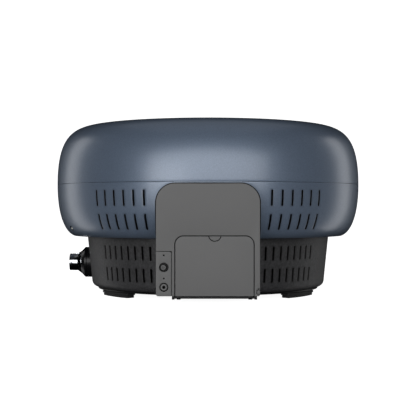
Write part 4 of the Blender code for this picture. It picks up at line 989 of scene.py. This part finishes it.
def makePorts():
    # A plate with round holes, and turned parts in them, facing -Y.
    left, right, low, top = -panel["halfWidth"], ports["plateRight"], panel["bottomZ"], ports["plateTop"]
    front, back, gap = panel["frontY"] - ports["proud"], ports["plateBackY"], ports["gap"]
    strip = roundCorners([(left, low, 1.3 * mm), (right, low, 0), (right, top, ports["plateCorner"]),
                          (left, top, 0)], 8)
    holes = [circleOutline(ports["x"], ports["buttonZ"], ports["collarRadius"] + gap, 48),
             circleOutline(ports["x"], ports["socketZ"], ports["socketRadius"] + gap, 48)]
    holes += [circleOutline(ports["x"], height, ports["lightHole"], 24) for height in ports["lightZ"]]
    side, holeSide = softEdges(front, back, 0.15 * mm), softEdges(front, back, 0.06 * mm)
    solid = slab([strip] + holes, [side] + [holeSide] * len(holes))
    # The strip's side walls and hole walls are drawn black, as painted shade.
    meshPiece("portStrip", solid, "panel_paint", "port_plate", bareAndShade=paintedJointShade(solid, -0.05 * mm))
    # Rubber collar round the button's rod.
    collar = [circleOutline(ports["x"], ports["buttonZ"], ports["collarRadius"], 48, False),
              circleOutline(ports["buttonX"], ports["buttonZ"], ports["buttonRadius"] + gap, 48)]
    solid = slab(collar, softEdges(front - 0.2 * mm, back, 0.12 * mm))
    meshPiece("buttonCollar", solid, "black_plastic", "button_collar")
    # Push rod: a small boss in a ring-shaped groove in its face, a rounded rim, and the shoulder behind the
    # wall.
    radius, face = ports["buttonRadius"], 2.6 * mm
    bowl = np.array([(0, face - 0.12 * mm), (0.34 * mm, face - 0.14 * mm), (0.42 * mm, face - 0.24 * mm),
                     (0.44 * mm, face - 0.6 * mm), (0.78 * mm, face - 0.6 * mm), (0.82 * mm, face - 0.1 * mm),
                     (0.92 * mm, face)])
    rim = quarterRound(radius, face, 0.3 * mm, 6)
    shoulder, tail = -2.7 * mm, -4.1 * mm
    stem = [(radius, shoulder), (2.0 * mm, shoulder), (2.0 * mm, tail), (0, tail)]
    profile = np.concatenate([bowl, rim, stem])
    solid = lathe(profile, 48, (0, -1, 0), (ports["buttonX"], panel["frontY"], ports["buttonZ"]))
    meshPiece("pushRod", solid, "panel_paint", "power_button", "button")
    # Power inlet: a black tube with a metal sleeve standing in it.
    place = (ports["x"], panel["frontY"], ports["socketZ"])
    radius = ports["socketRadius"]
    bore = [(0, -8.3 * mm), (1.9 * mm, -8.3 * mm), (1.9 * mm, 0.22 * mm), (1.96 * mm, 0.3 * mm)]
    lip = quarterRound(radius, 0.3 * mm, 0.1 * mm, 4)
    profile = np.concatenate([bore, lip, [(radius, -9.5 * mm), (0, -9.5 * mm)]])
    meshPiece("inletBody", lathe(profile, 48, (0, -1, 0), place), "black_plastic", "charge_socket")
    sleeve = [(0.9 * mm, 0.1 * mm), (0.97 * mm, 0.2 * mm), (1.76 * mm, 0.2 * mm), (1.84 * mm, 0.12 * mm),
              (1.84 * mm, -8 * mm), (0.9 * mm, -8 * mm)]
    meshPiece("inletSleeve", lathe(sleeve, 48, (0, -1, 0), place, True), "panel_paint", "charge_sleeve")
    for name, node, height in (("statusLight", "status_led", ports["lightZ"][0]),
                               ("chargeLight", "charge_led", ports["lightZ"][1])):
        dome = quarterRound(0.3 * mm, -0.45 * mm, 0.3 * mm, 6, 0.15 * mm)
        profile = np.concatenate([dome, [(0.3 * mm, -5 * mm), (0, -5 * mm)]])
        meshPiece(name, lathe(profile, 20, (0, -1, 0), (ports["x"], panel["frontY"], height)), "lens", node)
    # Lug for the port cover's tether, below its oval eye.
    x, half = tether["x"], tether["halfWidth"]
    tab = roundCorners([(x - half, tether["low"], 0.4 * mm), (x + half, tether["low"], 0.4 * mm),
                        (x + half, tether["high"], 0.4 * mm), (x - half, tether["high"], 0.4 * mm)], 5)
    solid = slab([tab], softEdges(panel["frontY"] - 0.6 * mm, panel["frontY"] + 1.1 * mm, 0.25 * mm))
    meshPiece("tetherTab", solid, "panel_paint", "tether_lug")


# Battery, its bay and the card carrier, seen when the door is open

battery = inMetres({
    "x": 3.65, "width": 38.4, "height": 20.5, "bottomZ": 9.1, "frontY": -93,
    "backY": -22.2, "corner": 2.5, "edge": 0.7, "bayWall": 1.2, "clearance": 0.4,
})


def makeBattery():
    # Round-cornered outlines in X and Z, carried along Y: case, tab, bay, carrier, card tray and socket.
    half, x = battery["width"] / 2, battery["x"]
    low, high = battery["bottomZ"], battery["bottomZ"] + battery["height"]
    front, back, corner = battery["frontY"], battery["backY"], battery["corner"]
    side = softEdges(front, back, battery["edge"], battery["edge"], 6)
    # A shallow groove round the case, where its two halves meet behind the front cap.
    groove = np.array([(0, front + 4.0 * mm), (0.25 * mm, front + 4.15 * mm), (0.25 * mm, front + 4.45 * mm),
                       (0, front + 4.6 * mm)])
    side = np.concatenate([side[:7], groove, side[7:]])
    solid = slab([rectangle(x - half, low, x + half, high, corner, 10)], side)
    meshPiece("batteryCase", solid, "black_plastic", "battery_pack")
    tab = roundCorners([(x - 4 * mm, low + 4 * mm, 0.5 * mm), (x + 4 * mm, low + 4 * mm, 0.5 * mm),
                        (x + 4 * mm, low + 17 * mm, 3.0 * mm), (x - 4 * mm, low + 17 * mm, 3.0 * mm)], 8)
    solid = slab([tab], softEdges(front - 0.7 * mm, front - 0.3 * mm, 0.12 * mm, 0.12 * mm))
    meshPiece("batteryTab", solid, "lens", "battery_pull_tab")
    # Bay: a square tube with a flared mouth and a closed back.
    reach = half + battery["clearance"]
    floor, roof = low - 0.3 * mm, high + battery["clearance"]
    wall, mouth, end = battery["bayWall"], front - 0.9 * mm, back + 0.6 * mm
    inside = rectangle(x - reach, floor, x + reach, roof, 0.6 * mm, 4)
    outside = rectangle(x - reach - wall, floor - wall, x + reach + wall, roof + wall, 0.8 * mm, 4)
    tube = slab([outside, inside[::-1]], [softEdges(mouth, end, 0.15 * mm), softEdges(mouth, end, 0.35 * mm)])
    lid = slab([outside], softEdges(end, end + wall, 0.02 * mm, 0.3 * mm))
    meshPiece("batteryBay", together(tube, lid), "black_plastic", "battery_bay")
    # Carrier over the battery: a block with the card's slot and the service socket's mouth.
    left, right, low, high = x - 18 * mm, x + 18 * mm, 31.7 * mm, 36.5 * mm
    block = rectangle(left, low, right, high, 0.5 * mm, 4)
    card = [(left + 3 * mm, 32.6 * mm), (left + 18 * mm, 32.6 * mm), (left + 18 * mm, 35.0 * mm),
            (left + 3 * mm, 35.0 * mm)]
    port = [(right - 13 * mm, 32.4 * mm), (right - 3 * mm, 32.4 * mm), (right - 3 * mm, 35.8 * mm),
            (right - 13 * mm, 35.8 * mm)]
    mouths = [roundCorners([(*corner, 0.2 * mm) for corner in ring], 3)[::-1] for ring in (card, port)]
    end = panel["backY"] + 4.0 * mm
    carrier = together(
        slab([block] + mouths, [softEdges(front, end, 0.3 * mm)] + [softEdges(front, end, 0.25 * mm)] * 2),
        slab([block], softEdges(end, end + 4 * mm, 0.02 * mm, 0.2 * mm)))
    meshPiece("cardCarrier", carrier, "black_plastic", "card_holder")
    tray = rectangle(left + 3.3 * mm, 32.9 * mm, left + 17.7 * mm, 34.7 * mm, 0.3 * mm, 3)
    solid = slab([tray], softEdges(front + 0.3 * mm, panel["backY"] + 3 * mm, 0.2 * mm, 0.2 * mm))
    meshPiece("cardTray", solid, "silver", "sim_tray")
    rings = []
    for skin, radius in ((0, 1.0 * mm), (0.5 * mm, 0.6 * mm)):
        x0, x1, z0, z1 = right - 12.7 * mm + skin, right - 3.3 * mm - skin, 32.7 * mm + skin, 35.5 * mm - skin
        rings.append(rectangle(x0, z0, x1, z1, radius, 6))
    start, end = front + 0.2 * mm, panel["backY"] + 3 * mm
    tongue = box((right - 10.9 * mm, start + 1.2 * mm, 33.8 * mm),
                 (right - 5.1 * mm, start + 8.2 * mm, 34.4 * mm))
    shellRing = slab([rings[0], rings[1][::-1]], softEdges(start, start + 8 * mm, 0.1 * mm))
    plug = slab([rings[0]], softEdges(start + 8 * mm, end, 0.02 * mm, 0.1 * mm))
    meshPiece("serviceSocket", together(shellRing, plug, tongue), "silver", "service_port")


# Round connector: profiles of (radius, distance from the axis of the dome) turned about an axis along -X

connector = inMetres({"z": 19.6, "front": 90.7, "barrel": 5.5, "ring": 9.85, "baseRadius": 78.6})


def makeConnector():
    # Barrel, ring, insulator and contact as turned profiles, with a key on the barrel's mouth.
    front, barrel, ring = connector["front"], connector["barrel"], connector["ring"]
    axis, place = (-1, 0, 0), (0, 0, connector["z"])
    lip = quarterRound(barrel, front, 0.35 * mm, 6)
    bore = [(0, front - 9 * mm), (4.4 * mm, front - 9 * mm), (4.4 * mm, front - 0.25 * mm), (4.6 * mm, front)]
    collar = [(barrel, front - 1.15 * mm), (barrel - 0.22 * mm, front - 1.3 * mm),
              (barrel - 0.22 * mm, front - 1.5 * mm), (barrel, front - 1.65 * mm), (barrel, front - 5.3 * mm),
              (barrel + 0.12 * mm, front - 5.55 * mm), (7.22 * mm, front - 7.55 * mm),
              (7.3 * mm, front - 7.7 * mm), (6.9 * mm, front - 7.7 * mm), (6.9 * mm, front - 24.5 * mm),
              (0, front - 24.5 * mm)]
    body = lathe(np.concatenate([bore, lip, collar]), 96, axis, place)
    key = box((3.8 * mm - front, -0.75 * mm, connector["z"] + 4.8 * mm),
              (6.1 * mm - front, 0.75 * mm, connector["z"] + 6.6 * mm), 0.25 * mm, 4)
    meshPiece("connectorBarrel", together(body, key), "chrome", "connector_body")
    back = connector["baseRadius"] - 5.1 * mm
    groove = front - 11.7 * mm
    profile = [(7.3 * mm, front - 8.05 * mm), (7.45 * mm, front - 8.0 * mm),
               (ring - 0.15 * mm, front - 10.1 * mm), (ring, front - 10.3 * mm),
               (ring, groove + 0.25 * mm), (ring - 0.08 * mm, groove + 0.18 * mm),
               (ring - 0.3 * mm, groove + 0.05 * mm), (ring - 0.3 * mm, groove - 0.05 * mm),
               (ring - 0.08 * mm, groove - 0.18 * mm), (ring, groove - 0.25 * mm), (ring, back),
               (7.2 * mm, back), (7.2 * mm, front - 8.1 * mm)]
    meshPiece("connectorRing", lathe(profile, 120, axis, place, True), "black_metal", "connector_ring")
    start = front - 6.2 * mm
    profile = [(1.1 * mm, start - 0.1 * mm), (1.2 * mm, start), (1.75 * mm, start),
               (1.75 * mm, start - 0.5 * mm), (2.1 * mm, start - 0.5 * mm), (2.1 * mm, start),
               (4.0 * mm, start), (4.1 * mm, start - 0.1 * mm),
               (4.1 * mm, start - 2.5 * mm), (1.1 * mm, start - 2.5 * mm)]
    solid = lathe(profile, 64, axis, place, True)
    meshPiece("connectorInsulator", solid, "white_plastic", "connector_insulator")
    tip = front - 2.0 * mm
    nose = quarterRound(0.8 * mm, tip, 0.8 * mm, 6, 0.6 * mm)
    profile = np.concatenate([nose, [(0.8 * mm, tip - 6.7 * mm), (0, tip - 6.7 * mm)]])
    meshPiece("connectorPin", lathe(profile, 32, axis, place), "brass", "connector_contact")


# Underside: cover plate, rubber feet, screws and the threaded pole insert

underside = inMetres({
    "plateRadius": 71.6, "plateZ": 3.3, "plateThickness": 0.9, "insertRadius": 12.0,
    "insertTopZ": 20.3, "boreRadius": 7.95, "threadPitch": 2.309, "threadDepth": 1.1,
    "boreTopZ": 18.3, "footOuter": 71.3, "footWidth": 7.2, "footCorner": 1.2,
    "screwCircle": 67.7, "screwHead": 2.4, "screwShank": 1.2,
})
footAngles = (43.5, 70)              # degrees from -Y and +Y where each foot starts and ends
screwAngles = (0, 70, 110, 180)      # degrees from +X


def arcBand(inner, outer, start, end, corner, steps=40):
    # A band between two radii, from one angle to another, with its four corners rounded.
    turn = np.radians(np.linspace(start, end, steps))
    trim = corner / np.array([outer, inner])
    outerArc = np.linspace(turn[0] + trim[0], turn[-1] - trim[0], steps)
    innerArc = np.linspace(turn[-1] - trim[1], turn[0] + trim[1], steps)
    spin = lambda radius, angle: np.stack([radius * np.cos(angle), radius * np.sin(angle)], -1)
    rounds = []
    for radius, angle, begin in ((outer - corner, outerArc[-1], 0), (inner + corner, innerArc[0], 90),
                                 (inner + corner, innerArc[-1], 180), (outer - corner, outerArc[0], 270)):
        sweep = angle + np.radians(np.linspace(begin, begin + 90, 6))
        rounds.append(spin(radius, angle) + corner * np.stack([np.cos(sweep), np.sin(sweep)], -1))
    return np.concatenate([spin(outer, outerArc), rounds[0][1:], rounds[1], spin(inner, innerArc)[1:],
                           rounds[2][1:], rounds[3][:-1]])


def makeUnderside():
    # Outlines in X and Y carried up Z, and a threaded bore turned about Z.
    plateZ, top = underside["plateZ"], underside["plateZ"] + underside["plateThickness"]
    circle = underside["screwCircle"]
    angles = np.radians(screwAngles)
    places = np.stack([circle * np.cos(angles), circle * np.sin(angles)], -1)
    outlines = [circleOutline(0, 0, underside["plateRadius"], 180, False),
                circleOutline(0, 0, underside["insertRadius"] + 0.3 * mm, 72)]
    outlines += [circleOutline(x, y, 1.5 * mm, 24) for x, y in places]
    solid = slab(outlines, softEdges(plateZ, top, 0.15 * mm), "+Z")
    meshPiece("coverPlate", solid, "black_plastic", "bottom_plate")
    # Foot: a holder with a narrower sole below it, each with a soft rim.
    outer, width = underside["footOuter"], underside["footWidth"]
    low, high = footAngles
    section = np.array([(1.05, 0), (0.86, 0.06), (0.75, 0.2), (0.7, 0.4), (0.7, 1.62), (0.55, 1.7),
                        (0.25, 1.72), (0.08, 1.8), (0, 2.0), (0, 2.75), (0.06, 2.92), (0.2, 3.0)]) * mm
    spans = ((270 - high, 270 - low), (270 + low, 270 + high), (90 - high, 90 - low), (90 + low, 90 + high))
    for index, (start, end) in enumerate(spans):
        solid = slab([arcBand(outer - width, outer, start, end, underside["footCorner"])], section, "+Z")
        meshPiece(f"rubberFoot{index + 1}", solid, "rubber", f"foot_{index + 1}")
    # Screw: a low head with a hexagonal recess, and its shank.
    head, shank, seat = underside["screwHead"], underside["screwShank"], plateZ - 0.3 * mm
    for index, (x, y) in enumerate(places):
        rim = circleOutline(x, y, head, 40, False)
        recess = circleOutline(x, y, 1.2 * mm, 6)
        ring = slab([rim, recess], [softEdges(seat - 1.1 * mm, seat - 0.3 * mm, 0.35 * mm),
                                    softEdges(seat - 1.1 * mm, seat - 0.3 * mm, 0.05 * mm)], "+Z")
        disc = slab([rim], softEdges(seat - 0.3 * mm, seat, 0.01 * mm, steps=1), "+Z")
        stem = lathe([(0, 6.0 * mm), (shank, 6.0 * mm), (shank, seat), (0, seat)], 24, centre=(x, y, 0))
        meshPiece(f"coverScrew{index + 1}", together(ring, disc, stem), "silver", f"bottom_screw_{index + 1}")
    # Pole insert: the bore's radius falls and rises once for each pitch that the height and the turn add up
    # to, which cuts a right-hand screw thread.
    steps, radius, bore = 120, underside["insertRadius"], underside["boreRadius"]
    heights = np.linspace(plateZ + 0.5 * mm, underside["boreTopZ"], 121)
    turn = np.linspace(0, 2 * math.pi, steps, endpoint=False)[:, None]
    phase = heights[None] / underside["threadPitch"] - turn / (2 * math.pi)
    tooth = 1 - np.abs(2 * (phase % 1) - 1)
    fade = np.clip(np.minimum(heights - heights[0], heights[-1] - heights) / (1.5 * mm), 0, 1)
    threadRadius = bore - underside["threadDepth"] * np.clip(1.35 * tooth - 0.15, 0, 1) * fade[None]
    before = np.array([(0, underside["insertTopZ"]), (radius - 0.3 * mm, underside["insertTopZ"]),
                       (radius, underside["insertTopZ"] - 0.3 * mm), (radius, plateZ + 0.25 * mm),
                       (radius - 0.25 * mm, plateZ), (bore + 0.5 * mm, plateZ)])
    flat = np.ones((steps, 1))
    radii = np.concatenate([flat * before[None, :, 0], threadRadius, 0 * flat], 1)
    levels = np.concatenate([flat * before[None, :, 1], flat * heights[None], flat * heights[-1]], 1)
    grid = np.stack([radii * np.cos(turn), radii * np.sin(turn), levels], -1)
    solid = grid.reshape(-1, 3), gridFaces(steps, radii.shape[1], loop=True)
    meshPiece("poleInsert", solid, "brass", "pole_insert")


def makeVent(surface):
    # A dished plug with a pin in its middle, drawn white as a painted highlight, turned about the shell's own
    # outward direction.
    length, angle = bezierLength(surface, vent["share"]), math.radians(360 - vent["angle"])
    place = np.array(angle), np.array(length)
    outer, deeper = (surface.point(*place, np.array(depth)) for depth in (0.0, 1 * mm))
    towards = (outer - deeper) / np.linalg.norm(outer - deeper)
    dish = [(0.62 * mm, -0.9 * mm), (0.8 * mm, -0.85 * mm), (1.3 * mm, -0.35 * mm), (1.42 * mm, -0.25 * mm),
            (1.5 * mm, -0.35 * mm), (1.5 * mm, -2.8 * mm), (0.62 * mm, -2.8 * mm)]
    meshPiece("ventDish", lathe(dish, 40, towards, outer, True), "black_plastic", "vent_plug")
    nose = quarterRound(0.6 * mm, 0.2 * mm, 0.6 * mm, 7, 0.45 * mm)
    pin = lathe(np.concatenate([nose, [(0.6 * mm, -2.8 * mm), (0, -2.8 * mm)]]), 32, towards, outer)
    # The pin is white as a painted highlight.
    meshPiece("ventPinPaintedHighlight", pin, "white_plastic")


makePanel()
makeJointShadeStrip()
makeShadedFiller()
makeHinge()
makeDoor()
makePorts()
print("panel, door and ports made")
makeBattery()
print("battery and carrier made")
makeConnector()
makeUnderside()
makeVent(lowerSurface)
print("connector, underside and vent made")


# Floor, camera and lights

studio = {
    "cameraDistance": 674.6 * mm, "cameraZ": 55 * mm, "lens": 88.7,
    "sweepStart": 1.8, "sweepRadius": 0.7, "sweepHeight": 2.4,
    "skyTone": "#F7F9FC", "skyStrength": 0.2,
}
softBoxes = {   # place, aim, width and height in metres, power in watts
    "frontBox": {"place": (0, -1.10, 0.28), "aim": (0, 0, 0.07), "size": (2.0, 0.62), "power": 10},
    "leftPanel": {"place": (-0.96, 0.50, 0.04), "aim": (0, 0, 0.06), "size": (0.36, 1.3), "power": 1.8},
    "rightPanel": {"place": (0.96, 0.50, 0.04), "aim": (0, 0, 0.06), "size": (0.36, 1.3), "power": 1.8},
    "lowFill": {"place": (-0.50, -0.85, 0.02), "aim": (-0.08, 0, 0.02), "size": (0.5, 0.5), "power": 1.2},
    "topWash": {"place": (0, 0.3, 2.2), "aim": (0, 0, 0), "size": (2.4, 2.4), "power": 3},
}


def makeFloor():
    # A flat disc that curves up in a quarter circle to a round wall, all turned about the dome's axis.
    turn = np.linspace(0, math.pi / 2, 25)
    start, radius = studio["sweepStart"], studio["sweepRadius"]
    profile = np.concatenate([
        [[0, 0], [0.3, 0]], np.stack([start + radius * np.sin(turn), radius * (1 - np.cos(turn))], -1),
        [[start + radius, studio["sweepHeight"]]]])
    points, faces = lathe(profile, 128)
    mesh = bpy.data.meshes.new("floorSweep")
    mesh.from_pydata(points.tolist(), [], [face[::-1] for face in faces])
    mesh.shade_smooth()
    floor = bpy.data.objects.new("floorSweep", mesh)
    bpy.context.scene.collection.objects.link(floor)
    floor.data.materials.append(finishes["studio_paper"])
    floor.visible_diffuse = False
    floor.visible_shadow = False
    floor.visible_glossy = False   # the paper doesn't mirror in the lacquer, as with a dark flag behind


def makeLights():
    # Flat rectangular lamps, each turned so that its -Z points at its aim, in a dim even room.
    for name, box in softBoxes.items():
        light = bpy.data.lights.new(name, "AREA")
        light.shape = "RECTANGLE"
        light.size, light.size_y = box["size"]
        light.energy = box["power"]
        lamp = bpy.data.objects.new(name, light)
        bpy.context.scene.collection.objects.link(lamp)
        lamp.location = box["place"]
        lamp.rotation_euler = (Vector(box["aim"]) - Vector(box["place"])).to_track_quat("-Z", "Y").to_euler()
    world = bpy.data.worlds.new("studioRoom")
    world.use_nodes = True
    sky = world.node_tree.nodes["Background"]
    sky.inputs["Color"].default_value = linearColour(studio["skyTone"])
    sky.inputs["Strength"].default_value = studio["skyStrength"]
    world.cycles_visibility.glossy = False   # dark flags stand round the table, so only the lamps mirror
    bpy.context.scene.world = world


def makeCamera():
    # On -Y, level, looking along +Y.
    camera = bpy.data.objects.new("camera", bpy.data.cameras.new("camera"))
    bpy.context.scene.collection.objects.link(camera)
    camera.location = (0, -studio["cameraDistance"], studio["cameraZ"])
    camera.rotation_euler = (math.pi / 2, 0, 0)
    camera.data.lens = studio["lens"]
    camera.data.sensor_width = 36
    camera.data.clip_start = 0.01
    bpy.context.scene.camera = camera


makeFloor()
makeLights()
makeCamera()
bpy.context.scene.view_settings.view_transform = "Standard"
print("floor, camera and lights set")
